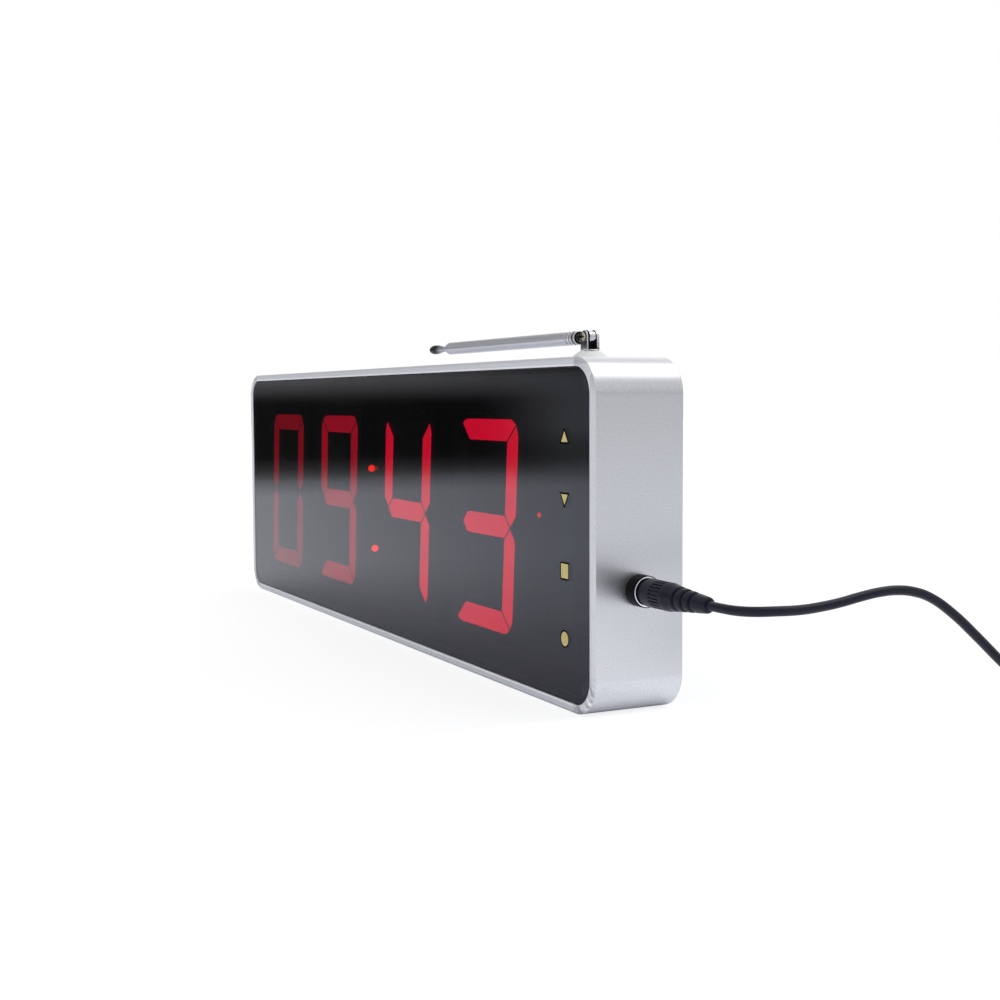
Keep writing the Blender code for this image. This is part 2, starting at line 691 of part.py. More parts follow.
def make_lamps(finish):
    """The two lamps of the colon and the small signal lamp, standing on the display board."""
    half_span, half_stagger = COLON_LAMP_SPAN / 2, COLON_LAMP_STAGGER / 2
    middle = DIGITS_Z + COLON_LAMP_RISE
    lamp_places = {
        "colon_lamp_upper": (DIGITS_X - half_stagger, middle + half_span, LED_RADIUS),
        "colon_lamp_lower": (DIGITS_X + half_stagger, middle - half_span, LED_RADIUS),
        "signal_lamp": (SIGNAL_LED_X, DIGITS_Z + SIGNAL_LED_RISE, SIGNAL_LED_RADIUS),
    }
    foot = BOARD_FRONT - GAP
    steps = 5
    for name, (x, z, radius) in lamp_places.items():
        profile = [
            (foot, 0),
            (foot, radius + LED_FLANGE),
            (foot - LED_FLANGE_HEIGHT, radius + LED_FLANGE),
            (foot - LED_FLANGE_HEIGHT, radius),
        ]
        for k in range(steps):
            angle = math.pi / 2 * k / steps
            profile.append((HOUSING_FRONT + radius * (1 - math.sin(angle)), radius * math.cos(angle)))
        profile.append((HOUSING_FRONT, 0))
        piece(name, turned(profile, "Y", (x, 0, z)), finish)


def make_boards(board_finish, metal_finish, chip_finish, holder_finish):
    """The display board on its standoffs, the parts on its back, and the touch board behind the keys."""
    bottom, top = DIGITS_Z - HOUSING_HEIGHT / 2, DIGITS_Z + HOUSING_HEIGHT / 2
    board = block((BOARD_LEFT, BOARD_FRONT, bottom), (BOARD_RIGHT, BOARD_BACK, top))
    piece("display_board", board, board_finish)
    number = 0
    for x in (BOARD_LEFT + STANDOFF_INSET, BOARD_RIGHT - STANDOFF_INSET):
        for z in (bottom + STANDOFF_INSET, top - STANDOFF_INSET):
            number += 1
            outline = moved_outline(hexagon(STANDOFF_ACROSS), x, z)
            pillar = prism(outline, BOARD_BACK + GAP, COVER_FRONT - GAP)
            piece(f"board_standoff_{number}", pillar, metal_finish)
    seat = BOARD_BACK + GAP
    chip = block(
        (-CHIP_SIDE / 2, seat, DIGITS_Z - CHIP_SIDE / 2),
        (CHIP_SIDE / 2, seat + CHIP_HEIGHT, DIGITS_Z + CHIP_SIDE / 2),
        BLOCK_BEVEL,
    )
    piece("control_chip", chip, chip_finish)
    radio = block(
        (RADIO_X - RADIO_LENGTH / 2, seat, DIGITS_Z - RADIO_WIDTH / 2),
        (RADIO_X + RADIO_LENGTH / 2, seat + RADIO_HEIGHT, DIGITS_Z + RADIO_WIDTH / 2),
        BLOCK_BEVEL,
    )
    piece("radio_module", radio, metal_finish)
    make_backup_cell(seat, holder_finish, metal_finish)
    buzzer_profile = [
        (seat, 0),
        (seat, BUZZER_RADIUS),
        (seat + BUZZER_HEIGHT - BLOCK_BEVEL, BUZZER_RADIUS),
        (seat + BUZZER_HEIGHT, BUZZER_RADIUS - BLOCK_BEVEL),
        (seat + BUZZER_HEIGHT, BUZZER_HOLE),
        (seat + BUZZER_HEIGHT / 2, BUZZER_HOLE),
        (seat + BUZZER_HEIGHT / 2, 0),
    ]
    piece("buzzer", turned(buzzer_profile, "Y", (BUZZER_X, 0, DIGITS_Z)), chip_finish)
    half = TOUCH_BOARD_WIDTH / 2
    front = PANEL_BACK + GAP
    touch = block(
        (KEY_X - half, front, min(KEY_HEIGHTS) - TOUCH_BOARD_MARGIN),
        (KEY_X + half, front + TOUCH_BOARD_THICKNESS, max(KEY_HEIGHTS) + TOUCH_BOARD_MARGIN),
    )
    piece("touch_board", touch, board_finish)


def make_backup_cell(seat, holder_finish, cell_finish):
    """The backup cell in its open cup on the display board."""
    floor = seat + CELL_WALL
    bore = CELL_RADIUS + GAP
    rim = floor + GAP + CELL_THICKNESS
    outer = bore + CELL_WALL
    cup = [(seat, 0), (seat, outer), (rim, outer), (rim, bore), (floor, bore), (floor, 0)]
    cell = [(floor + GAP, 0), (floor + GAP, CELL_RADIUS), (rim, CELL_RADIUS), (rim, 0)]
    centre = (CELL_X, 0, DIGITS_Z)
    piece("backup_cell_holder", turned(cup, "Y", centre, FINE_SIDES), holder_finish)
    piece("backup_cell", turned(cell, "Y", centre, FINE_SIDES), cell_finish)


# Aerial


def make_aerial_base(grommet_finish, metal_finish):
    """The white grommet in the top of the case, and the fork that swivels in it."""
    bottom = HEIGHT + GAP
    bore = STEM_RADIUS + GAP
    steps = 5
    grommet = [
        (bottom - SLEEVE_LENGTH, bore),
        (bottom - SLEEVE_LENGTH, SLEEVE_RADIUS),
        (bottom, SLEEVE_RADIUS),
        (bottom, DOME_RADIUS),
    ]
    for k in range(1, steps):
        angle = math.pi / 2 * k / steps
        radius = FORK_BASE_RADIUS + (DOME_RADIUS - FORK_BASE_RADIUS) * math.cos(angle)
        grommet.append((bottom + DOME_HEIGHT * math.sin(angle), radius))
    grommet += [(bottom + DOME_HEIGHT, FORK_BASE_RADIUS), (bottom + DOME_HEIGHT, bore)]
    piece("aerial_grommet", turned(grommet, "Z", (AERIAL_X, 0, 0), FINE_SIDES), grommet_finish)

    pivot = (AERIAL_X, 0, PIVOT_Z)
    nut_top = HEIGHT + GAP - SLEEVE_LENGTH - GAP - PIVOT_Z
    nut_bottom = nut_top - NUT_HEIGHT
    base_bottom, floor = FORK_BOTTOM - PIVOT_Z, FORK_FLOOR - PIVOT_Z
    stem = turned(
        [
            (nut_bottom - STEM_END, 0),
            (nut_bottom - STEM_END, STEM_RADIUS),
            (base_bottom, STEM_RADIUS),
            (base_bottom, FORK_BASE_RADIUS),
            (floor, FORK_BASE_RADIUS),
            (floor, 0),
        ],
        "Z",
        sides=FINE_SIDES,
    )
    ear_root = (base_bottom + floor) / 2
    arc = [math.pi * k / CORNER_STEPS for k in range(CORNER_STEPS + 1)]
    ear = [(EAR_RADIUS * math.cos(a), EAR_RADIUS * math.sin(a)) for a in arc]
    ear = [(EAR_RADIUS, ear_root)] + ear + [(-EAR_RADIUS, ear_root)]
    ears = [prism(ear, -EAR_OUTER, -EAR_INNER), prism(ear, EAR_INNER, EAR_OUTER)]
    pin_hole = prism(polygon(HINGE_RADIUS + GAP, ROUND_SIDES), -EAR_OUTER - OVERCUT, EAR_OUTER + OVERCUT)
    fork = boolean(boolean(stem, [joined(ears)], "UNION"), [pin_hole])
    piece("aerial_fork", fork, metal_finish, pivot)

    nut = prism(hexagon(NUT_ACROSS), nut_bottom, nut_top, "Z")
    nut_bore = prism(polygon(STEM_RADIUS + GAP, FINE_SIDES), nut_bottom - OVERCUT, nut_top + OVERCUT, "Z")
    piece("aerial_nut", boolean(nut, [nut_bore]), metal_finish, pivot)

    head = -EAR_OUTER - GAP
    screw = turned(
        [
            (head - HINGE_HEAD_HEIGHT, 0),
            (head - HINGE_HEAD_HEIGHT, HINGE_HEAD_RADIUS / 2),
            (head - HINGE_HEAD_HEIGHT * 0.7, HINGE_HEAD_RADIUS * 0.85),
            (head - HINGE_HEAD_HEIGHT * 0.3, HINGE_HEAD_RADIUS),
            (head, HINGE_HEAD_RADIUS),
            (head, HINGE_RADIUS),
            (EAR_OUTER + GAP, HINGE_RADIUS),
            (EAR_OUTER + GAP, 0),
        ],
        "Y",
    )
    recess = cross_tools(0, 0, head - HINGE_HEAD_HEIGHT, HINGE_HEAD_RADIUS * 1.3)
    piece("aerial_hinge_screw", boolean(screw, recess), metal_finish, pivot)


def make_aerial_rod(metal_finish, tip_finish):
    """The folding knuckle and the nested sections, folded flat along -X. Their origins are on the pivot."""
    axis = bpy.data.objects.new("aerial_fold_axis", None)
    axis.location = (AERIAL_X, 0, PIVOT_Z)
    bpy.context.scene.collection.objects.link(axis)

    arc = [math.pi * (k / CORNER_STEPS - 0.5) for k in range(CORNER_STEPS + 1)]
    tongue = [(TONGUE_RADIUS * math.cos(a), TONGUE_RADIUS * math.sin(a)) for a in arc]
    tongue_end = -(CONE_START + CONE_END) / 2
    tongue += [(tongue_end, CONE_RADIUS), (tongue_end, -CONE_RADIUS)]
    tongue_plate = prism(tongue, -TONGUE_THICKNESS / 2, TONGUE_THICKNESS / 2)
    spigot = turned(
        [
            (-CONE_START, 0),
            (-CONE_START, CONE_RADIUS),
            (-CONE_END, TUBE_RADIUS),
            (-CONE_END - GAP / 2, TUBE_BORE - GAP),
            (-CONE_END - SPIGOT_LENGTH, TUBE_BORE - GAP),
            (-CONE_END - SPIGOT_LENGTH, 0),
        ],
        "X",
    )
    pin_hole = prism(polygon(HINGE_RADIUS + GAP, ROUND_SIDES), -TONGUE_THICKNESS, TONGUE_THICKNESS)
    knuckle = boolean(boolean(tongue_plate, [spigot], "UNION"), [pin_hole])
    piece("aerial_knuckle", knuckle, metal_finish, parent=axis)

    piece("aerial_section_1", outer_section(), metal_finish, parent=axis)
    bore = TUBE_BORE
    for number in (2, 3):
        radius = bore - SECTION_GAP
        bore = radius - TUBE_WALL
        start = SECTION_START + (number - 2) * SECTION_STEP
        end = TUBE_END + (number - 1) * SECTION_STEP
        section = turned([(-start, bore), (-start, radius), (-end, radius), (-end, bore)], "X")
        piece(f"aerial_section_{number}", section, metal_finish, parent=axis)

    rod_radius = bore - SECTION_GAP
    rod_start = SECTION_START + 2 * SECTION_STEP
    tip_start = TUBE_END + 2 * SECTION_STEP + NECK_LENGTH
    rod_end = tip_start + TIP_BORE_DEPTH - GAP
    rod = turned([(-rod_start, 0), (-rod_start, rod_radius), (-rod_end, rod_radius), (-rod_end, 0)], "X")
    piece("aerial_section_4", rod, metal_finish, parent=axis)
    piece("aerial_tip", aerial_tip(tip_start, rod_radius + GAP), tip_finish, parent=axis)


def outer_section():
    """The outer tube: two rolled grooves beside the knuckle, and a mouth crimped in at the far end."""
    mouth = TUBE_BORE - CRIMP
    outside = [(-TUBE_START, TUBE_RADIUS)]
    for place in TUBE_GROOVES:
        middle = TUBE_START + place
        outside += [
            (-middle + TUBE_GROOVE_WIDTH / 2, TUBE_RADIUS),
            (-middle, TUBE_RADIUS - TUBE_GROOVE),
            (-middle - TUBE_GROOVE_WIDTH / 2, TUBE_RADIUS),
        ]
    crimp = TUBE_END - CRIMP_LENGTH
    outside += [(-crimp, TUBE_RADIUS), (-TUBE_END, TUBE_RADIUS - CRIMP)]
    inside = [(-TUBE_END, mouth), (-crimp, TUBE_BORE), (-TUBE_START, TUBE_BORE)]
    return turned(outside + inside, "X")


def aerial_tip(start, bore):
    """The turned cap on the end of the aerial, with a blind bore for the rod."""
    end = start + TIP_LENGTH
    chamfer = TIP_RADIUS / 4
    profile = [
        (-start - TIP_BORE_DEPTH, 0),
        (-start - TIP_BORE_DEPTH, bore),
        (-start, bore),
        (-start, TIP_RADIUS - chamfer),
        (-start - chamfer, TIP_RADIUS),
    ]
    steps = 5
    for k in range(steps):
        angle = math.pi / 2 * k / steps
        profile.append((-end + TIP_RADIUS * (1 - math.sin(angle)), TIP_RADIUS * math.cos(angle)))
    profile.append((-end, 0))
    return turned(profile, "X")


# Power inlet and plug


def make_inlet(body_finish, metal_finish):
    """The panel jack on the right side: barrel, bright ring, centre pin and the nut inside the case."""
    centre = (0, 0, JACK_HEIGHT)
    recess_floor = JACK_FRONT - JACK_RECESS_DEPTH
    bore_end = JACK_BODY_END + JACK_REAR_WALL
    ring_seat = JACK_FRONT - JACK_RING_THICKNESS - GAP
    pin_hole = JACK_PIN_RADIUS + GAP
    body = [
        (JACK_BACK, JACK_RADIUS),
        (JACK_FRONT, JACK_RADIUS),
        (JACK_FRONT, JACK_RING_RADIUS + GAP),
        (ring_seat, JACK_RING_RADIUS + GAP),
        (ring_seat, JACK_RECESS_RADIUS),
        (recess_floor, JACK_RECESS_RADIUS),
        (recess_floor, JACK_BORE_RADIUS),
        (bore_end, JACK_BORE_RADIUS),
        (bore_end, pin_hole),
        (JACK_BODY_END, pin_hole),
        (JACK_BODY_END, JACK_THREAD_RADIUS),
        (JACK_BACK, JACK_THREAD_RADIUS),
    ]
    piece("dc_jack", turned(body, "X", centre, FINE_SIDES), body_finish)
    inner = JACK_RING_RADIUS - JACK_RING_WIDTH
    quarter = JACK_RING_WIDTH / 4
    back = JACK_FRONT - JACK_RING_THICKNESS
    ring = [
        (back, inner),
        (back, JACK_RING_RADIUS),
        (JACK_FRONT - quarter, JACK_RING_RADIUS),
        (JACK_FRONT, JACK_RING_RADIUS - quarter),
        (JACK_FRONT, inner + quarter),
        (JACK_FRONT - quarter, inner),
    ]
    piece("dc_jack_ring", turned(ring, "X", centre, FINE_SIDES), metal_finish)
    pin_end = PLUG_NOSE - GAP
    pin = [(JACK_BODY_END, 0), (JACK_BODY_END, JACK_PIN_RADIUS), (pin_end, JACK_PIN_RADIUS), (pin_end, 0)]
    piece("dc_jack_pin", turned(pin, "X", centre), metal_finish)
    nut_front = SIDE_X - WALL - GAP
    nut_back = nut_front - JACK_NUT_HEIGHT
    nut = prism(hexagon(JACK_NUT_ACROSS), nut_back, nut_front, "X", centre)
    thread_outline = polygon(JACK_THREAD_RADIUS + GAP, FINE_SIDES)
    thread = prism(thread_outline, nut_back - OVERCUT, nut_front + OVERCUT, "X", centre)
    piece("dc_jack_nut", boolean(nut, [thread]), metal_finish)


def make_plug(body_finish, metal_finish):
    """The moulded plug in the jack, with grip slots and a grooved strain relief, and its metal sleeve."""
    centre = (0, 0, JACK_HEIGHT)
    nose_radius = JACK_RECESS_RADIUS - GAP
    socket = SLEEVE_TUBE_RADIUS + GAP
    socket_end = PLUG_NOSE + SLEEVE_SEAT + GAP
    profile = [
        (socket_end, 0),
        (socket_end, socket),
        (PLUG_NOSE, socket),
        (PLUG_NOSE, nose_radius),
        (PLUG_GRIP_START, nose_radius),
        (PLUG_GRIP_START, PLUG_RADIUS - PLUG_CHAMFER),
        (PLUG_GRIP_START + PLUG_CHAMFER, PLUG_RADIUS),
        (PLUG_TAPER_START, PLUG_RADIUS),
        (PLUG_RELIEF_START, PLUG_RELIEF_RADIUS),
    ]
    pitch = PLUG_RELIEF_LENGTH / (PLUG_GROOVES + 1)
    fall = (PLUG_RELIEF_RADIUS - PLUG_END_RADIUS) / PLUG_RELIEF_LENGTH
    for k in range(PLUG_GROOVES):
        start = pitch * (k + 0.6)
        middle, end = start + PLUG_GROOVE_WIDTH / 2, start + PLUG_GROOVE_WIDTH
        for along, depth in ((start, 0), (middle, PLUG_GROOVE_DEPTH), (end, 0)):
            profile.append((PLUG_RELIEF_START + along, PLUG_RELIEF_RADIUS - fall * along - depth))
    profile += [(PLUG_END, PLUG_END_RADIUS), (PLUG_END, 0)]
    body = turned(profile, "X", centre, FINE_SIDES)
    slots = []
    slot_start = PLUG_GRIP_START + PLUG_GRIP_LENGTH / 5
    for k in range(PLUG_SLOTS):
        slot = block(
            (slot_start, -PLUG_SLOT_WIDTH / 2, PLUG_RADIUS - PLUG_SLOT_DEPTH),
            (slot_start + PLUG_SLOT_LENGTH, PLUG_SLOT_WIDTH / 2, PLUG_RADIUS + PLUG_SLOT_DEPTH),
        )
        slot.transform(Matrix.Translation(centre) @ Matrix.Rotation(2 * math.pi * k / PLUG_SLOTS, 4, "X"))
        slots.append(slot)
    piece("dc_plug", boolean(body, [joined(slots)]), body_finish)
    sleeve_end = PLUG_NOSE + SLEEVE_SEAT
    sleeve_front = sleeve_end - SLEEVE_SEAT - SLEEVE_TUBE_LENGTH
    sleeve = [
        (sleeve_front, SLEEVE_BORE),
        (sleeve_front, SLEEVE_TUBE_RADIUS),
        (sleeve_end, SLEEVE_TUBE_RADIUS),
        (sleeve_end, SLEEVE_BORE),
    ]
    piece("dc_plug_sleeve", turned(sleeve, "X", centre), metal_finish)


# Lead


def smooth_curve(points, spacing):
    """Points about a spacing apart on a smooth curve through the given ones."""
    ends = [2 * points[0] - points[1], *points, 2 * points[-1] - points[-2]]
    fine = []
    steps = 12
    for before, start, end, after in zip(ends, ends[1:], ends[2:], ends[3:]):
        for k in range(steps):
            t = k / steps
            fine.append(
                start
                + (end - before) * (t / 2)
                + (2 * before - 5 * start + 4 * end - after) * (t * t / 2)
                + (3 * start - before - 3 * end + after) * (t * t * t / 2)
            )
    fine.append(points[-1])
    lengths = [0.0]
    for low, high in zip(fine, fine[1:]):
        lengths.append(lengths[-1] + (high - low).length)
    count = max(2, round(lengths[-1] / spacing))
    even = []
    k = 0
    for n in range(count + 1):
        wanted = lengths[-1] * n / count
        while k < len(fine) - 2 and lengths[k + 1] < wanted:
            k += 1
        share = (wanted - lengths[k]) / (lengths[k + 1] - lengths[k])
        even.append(fine[k].lerp(fine[k + 1], share))
    return even


def tube(name, points, resolution, finish):
    """A curve object of the cord's diameter along these points."""
    curve = bpy.data.curves.new(name, "CURVE")
    curve.dimensions = "3D"
    curve.bevel_depth = CORD_RADIUS
    curve.bevel_resolution = resolution
    curve.use_fill_caps = True
    spline = curve.splines.new("POLY")
    spline.points.add(len(points) - 1)
    for made, point in zip(spline.points, points):
        made.co = (*point, 1)
    curve.materials.append(finish)
    bpy.context.scene.collection.objects.link(bpy.data.objects.new(name, curve))


def cord_route():
    """The free stretch's own points: from the plug to where the coil begins."""
    start = PLUG_END + GAP
    return [Vector((start + x * MM, y * MM, z * MM)) for x, y, z in CORD_ROUTE]


def coil_points(centre):
    """The coil: in along the lower layer, up in a half turn where it reverses, out along the upper layer,
    then a straight tail that comes down to the height of the far plug."""
    total = 2 * COIL_TURNS + 0.5
    count = round(total * COIL_POINTS_PER_TURN)
    start = centre + Vector((-COIL_OUTER, 0, 0))
    points = [start - Vector((0, CORD_DIAMETER, 0))]
    for k in range(count + 1):
        turn = total * k / count
        half = min(max((turn - COIL_TURNS) / 0.5, 0.0), 1.0)
        if turn <= COIL_TURNS + 0.25:
            radius = COIL_OUTER - COIL_PITCH * turn
        else:
            radius = COIL_INNER + COIL_PITCH * (turn - COIL_TURNS - 0.5)
        rise = COIL_PITCH * half * half * (3 - 2 * half)
        angle = math.pi - 2 * math.pi * turn
        points.append(centre + Vector((radius * math.cos(angle), radius * math.sin(angle), rise)))
    last = points[-1]
    drop = last.z - FAR_PLUG_HEIGHT / 2
    for share in (0.2, 0.4, 0.6, 0.8):
        fall = drop * share * share * (3 - 2 * share)
        points.append(last + Vector((0, -TAIL_LENGTH * share, -fall)))
    flat = Vector((last.x, last.y - TAIL_LENGTH, FAR_PLUG_HEIGHT / 2))
    return points + [flat, flat - Vector((0, CORD_DIAMETER, 0))]


def print_least_gap(points):
    """Prints the least gap between turns of the coil, measured on its points."""
    apart = COIL_POINTS_PER_TURN // 2
    least = min(
        (points[j] - points[i]).length for i in range(len(points)) for j in range(i + apart, len(points))
    )
    print(f"least gap between the coil's turns: {(least - CORD_DIAMETER) / MM:.2f} mm")


def make_lead(cord_finish, tie_finish, shell_finish, tongue_finish):
    """The lead's free stretch, its tied coil, and the plug on its far end."""
    route = cord_route()
    free = smooth_curve(route, CORD_POINT_SPACING)
    tube("power_cord", free, 2, cord_finish)
    coil_start = route[-1] + Vector((0, GAP + CORD_DIAMETER, 0))
    centre = Vector((coil_start.x + COIL_OUTER, coil_start.y, COIL_Z))
    coil = coil_points(centre)
    print_least_gap(coil)
    tube("power_cord_coil", coil, 1, cord_finish)

    make_tie(centre, tie_finish)
    make_far_plug(coil[-1] - Vector((0, GAP, 0)), cord_finish, shell_finish, tongue_finish)


def make_tie(centre, finish):
    """The band round all the turns of the coil, on its far side."""
    inside = COIL_INNER - COIL_PITCH / 4 - CORD_RADIUS - TIE_GAP
    outside = COIL_OUTER + CORD_RADIUS + TIE_GAP
    half_span = (outside - inside) / 2
    half_rise = COIL_PITCH / 2 + CORD_RADIUS + GAP
    corner = CORD_RADIUS / 2
    hole = rounded_rectangle(half_span, half_rise, corner, 3)
    band = rounded_rectangle(half_span + TIE_THICKNESS, half_rise + TIE_THICKNESS, corner + TIE_THICKNESS, 3)
    place = centre + Vector((0, (inside + outside) / 2, COIL_PITCH / 2))
    half = TIE_WIDTH / 2
    loops = []
    for outline, x in ((band, -half), (band, half), (hole, half), (hole, -half)):
        loops.append([place + Vector((x, u, v)) for u, v in outline])
    piece("cord_tie", skinned(loops, closed=True), finish)


def make_far_plug(start, body_finish, shell_finish, tongue_finish):
    """The plug on the far end: a moulded body with a strain relief, a metal shell and the tongue in it. It
    lies along -Y from the end of the lead."""
    half_w, half_h = FAR_PLUG_WIDTH / 2, FAR_PLUG_HEIGHT / 2
    round_end = FAR_PLUG_RELIEF_RADIUS
    corner = FAR_PLUG_CORNER
    body_start = FAR_PLUG_RELIEF_LENGTH
    body_end = body_start + FAR_PLUG_BODY_LENGTH
    sections = [
        (0, round_end, round_end, round_end * 0.99),
        (body_start * 0.8, round_end * 1.3, round_end * 1.2, round_end * 1.1),
        (body_start, half_w * 0.8, half_h * 0.9, corner),
        (body_start + corner, half_w, half_h, corner),
        (body_end - corner / 2, half_w, half_h, corner),
        (body_end, half_w - corner / 4, half_h - corner / 4, corner),
    ]
    loops = []
    for along, half_x, half_z, radius in sections:
        outline = rounded_rectangle(half_x, half_z, radius, 4)
        loops.append([start + Vector((x, -along, z)) for x, z in outline])
    piece("far_plug_body", skinned(loops), body_finish)
    shell_start = start.y - body_end - GAP
    shell_end = shell_start - FAR_PLUG_SHELL_LENGTH
    outer_w, outer_h = FAR_PLUG_SHELL_WIDTH / 2, FAR_PLUG_SHELL_HEIGHT / 2
    inner_w, inner_h = outer_w - FAR_PLUG_SHELL_WALL, outer_h - FAR_PLUG_SHELL_WALL
    bend = FAR_PLUG_SHELL_WALL
    outer = moved_outline(rounded_rectangle(outer_w, outer_h, bend, 2), start.x, start.z)
    inner = moved_outline(rounded_rectangle(inner_w, inner_h, bend / 2, 2), start.x, start.z)
    rings = ((outer, shell_start), (outer, shell_end), (inner, shell_end), (inner, shell_start))
    shell = skinned([[(x, y, z) for x, z in outline] for outline, y in rings], closed=True)
    piece("far_plug_shell", shell, shell_finish)
    top = start.z + inner_h - GAP
    tongue = block(
        (start.x - inner_w + GAP, shell_end + FAR_PLUG_SHELL_WALL, top - FAR_PLUG_TONGUE_THICKNESS),
        (start.x + inner_w - GAP, shell_start, top),
    )
    piece("far_plug_tongue", tongue, tongue_finish)


def main():
    for old in list(bpy.data.objects):
        bpy.data.objects.remove(old)
    aluminium = material("blasted anodised aluminium", (0.55, 0.56, 0.59), 0.42, 1.0)
    acrylic = material("smoked acrylic", (0.015, 0.015, 0.018), 0.06)
    foam = material("black foam tape", (0.02, 0.02, 0.02), 0.9)
    gold = material("gold plated contact", (0.55, 0.44, 0.16), 0.35, 1.0)
    zinc = material("zinc plated steel", (0.5, 0.5, 0.5), 0.35, 1.0)
    chrome = material("chrome plated brass", (0.75, 0.76, 0.78), 0.12, 1.0)
    grey_abs = material("dark grey ABS", (0.03, 0.03, 0.033), 0.5)
    red_guide = material("red diffusing light guide", (0.55, 0.01, 0.03), 0.3)
    red_lamp = material("red lamp epoxy", (0.7, 0.01, 0.02), 0.2)
    board_green = material("solder masked board", (0.01, 0.09, 0.03), 0.45)
    chip_black = material("black moulded epoxy", (0.02, 0.02, 0.02), 0.5)
    white_abs = material("white ABS", (0.75, 0.76, 0.76), 0.35)
    black_abs = material("black ABS", (0.018, 0.018, 0.02), 0.4)
    dark_tip = material("blackened brass", (0.05, 0.05, 0.055), 0.3, 1.0)
    black_pvc = material("black soft PVC", (0.022, 0.022, 0.026), 0.45)
    white_insulator = material("white insulator", (0.8, 0.8, 0.78), 0.5)

    make_frame(aluminium)
    make_front_panel(acrylic, foam, gold)
    make_rear_cover(black_abs, zinc)
    make_digits(grey_abs, red_guide)
    make_lamps(red_lamp)
    make_boards(board_green, zinc, chip_black, black_abs)
    make_aerial_base(white_abs, chrome)
    make_aerial_rod(chrome, dark_tip)
    make_inlet(black_abs, chrome)
    make_plug(black_pvc, chrome)
    make_lead(black_pvc, foam, zinc, white_insulator)


main()
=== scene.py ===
"""Looks of a four-digit LED clock: its finishes, lit digits, aerial and power lead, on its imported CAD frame.

Metres, +Z up. The front faces -Y and the clock stands on z = 0.
"""

import json
import math

import bmesh
import bpy
from bpy.props import FloatProperty, FloatVectorProperty, IntProperty, PointerProperty, StringProperty
from mathutils import Matrix, Vector

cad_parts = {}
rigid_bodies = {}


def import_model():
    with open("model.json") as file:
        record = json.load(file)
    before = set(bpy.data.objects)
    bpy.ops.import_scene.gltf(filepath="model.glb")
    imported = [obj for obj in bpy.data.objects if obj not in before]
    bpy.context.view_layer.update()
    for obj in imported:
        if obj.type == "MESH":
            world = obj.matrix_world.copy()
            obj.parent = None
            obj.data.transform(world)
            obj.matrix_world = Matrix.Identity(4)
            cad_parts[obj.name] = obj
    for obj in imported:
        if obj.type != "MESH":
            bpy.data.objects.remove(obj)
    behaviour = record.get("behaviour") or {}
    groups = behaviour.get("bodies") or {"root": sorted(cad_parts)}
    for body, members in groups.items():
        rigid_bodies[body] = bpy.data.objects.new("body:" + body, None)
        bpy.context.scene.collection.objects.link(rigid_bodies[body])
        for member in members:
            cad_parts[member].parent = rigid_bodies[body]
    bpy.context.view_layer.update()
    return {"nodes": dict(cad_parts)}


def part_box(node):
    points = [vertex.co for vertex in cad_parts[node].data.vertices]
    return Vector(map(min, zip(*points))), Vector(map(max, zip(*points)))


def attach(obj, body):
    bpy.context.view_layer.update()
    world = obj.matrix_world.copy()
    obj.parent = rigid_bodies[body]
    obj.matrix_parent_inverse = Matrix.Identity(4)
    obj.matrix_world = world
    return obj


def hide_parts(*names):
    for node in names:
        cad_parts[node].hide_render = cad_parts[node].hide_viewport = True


bl_info = {
    "name": "LED clock looks",
    "version": (1, 0, 0),
    "blender": (4, 5, 0),
    "location": "View3D > Sidebar > LED clock",
    "description": "Finishes, lit digits, aerial, power lead and stage of a four-digit LED clock",
    "category": "Object",
}

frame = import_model()
MM = 0.001
CLOCK = "clock"
QUARTER = math.pi / 2
ON_AXIS = 1e-9
TURN_ALONG = {
    "X": Matrix.Identity(4),
    "Y": Matrix.Rotation(QUARTER, 4, "Z"),
    "Z": Matrix.Rotation(-QUARTER, 4, "Y"),
}


def extent(node):
    """A CAD node's low and high corners, its middle, and its half sizes along X, Y and Z."""
    low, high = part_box(node)
    return low, high, (low + high) / 2, [(b - a) / 2 for a, b in zip(low, high)]


def numbered(stem):
    """The names of four numbered nodes."""
    return [f"{stem}_{n}" for n in (1, 2, 3, 4)]


# Places read from the CAD solids
CASE_LOW, CASE_HIGH, CASE_MIDDLE, _ = extent("frame")
PANEL_LOW, PANEL_HIGH, _, PANEL_HALF = extent("front_panel")
SCREW = extent("cover_screw_4")[2]
PLUG_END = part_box("dc_plug")[1].x
PIVOT = extent("aerial_hinge_screw")[2]
PIVOT.y = 0.0
JACK = Vector((CASE_HIGH.x, 0.0, extent("dc_jack")[2].z))


# Colours and nodes


def colour(code):
    """Linear RGBA of an sRGB hex colour."""
    parts = [int(code[k : k + 2], 16) / 255 for k in (0, 2, 4)]
    linear = [p / 12.92 if p <= 0.04045 else ((p + 0.055) / 1.055) ** 2.4 for p in parts]
    return (*linear, 1.0)


def feed(node, inputs):
    """Gives a node's sockets values, or links to other sockets. A node stands for its first output."""
    for key, value in inputs.items():
        if isinstance(value, bpy.types.Node):
            value = value.outputs[0]
        if isinstance(value, bpy.types.NodeSocket):
            node.id_data.links.new(value, node.inputs[key])
        else:
            node.inputs[key].default_value = value


def add(tree, kind, inputs=None, **settings):
    """Adds a node: settings are its own properties, and inputs are what its sockets take."""
    node = tree.nodes.new(kind)
    for name, value in settings.items():
        setattr(node, name, value)
    feed(node, inputs or {})
    return node


def new_finish(name, **sockets):
    """A material with a Principled shader, and values on that shader's own sockets."""
    made = bpy.data.materials.new(name)
    made.use_nodes = True
    shader = made.node_tree.nodes["Principled BSDF"]
    feed(shader, {label.replace("_", " "): value for label, value in sockets.items()})
    return made, made.node_tree, shader


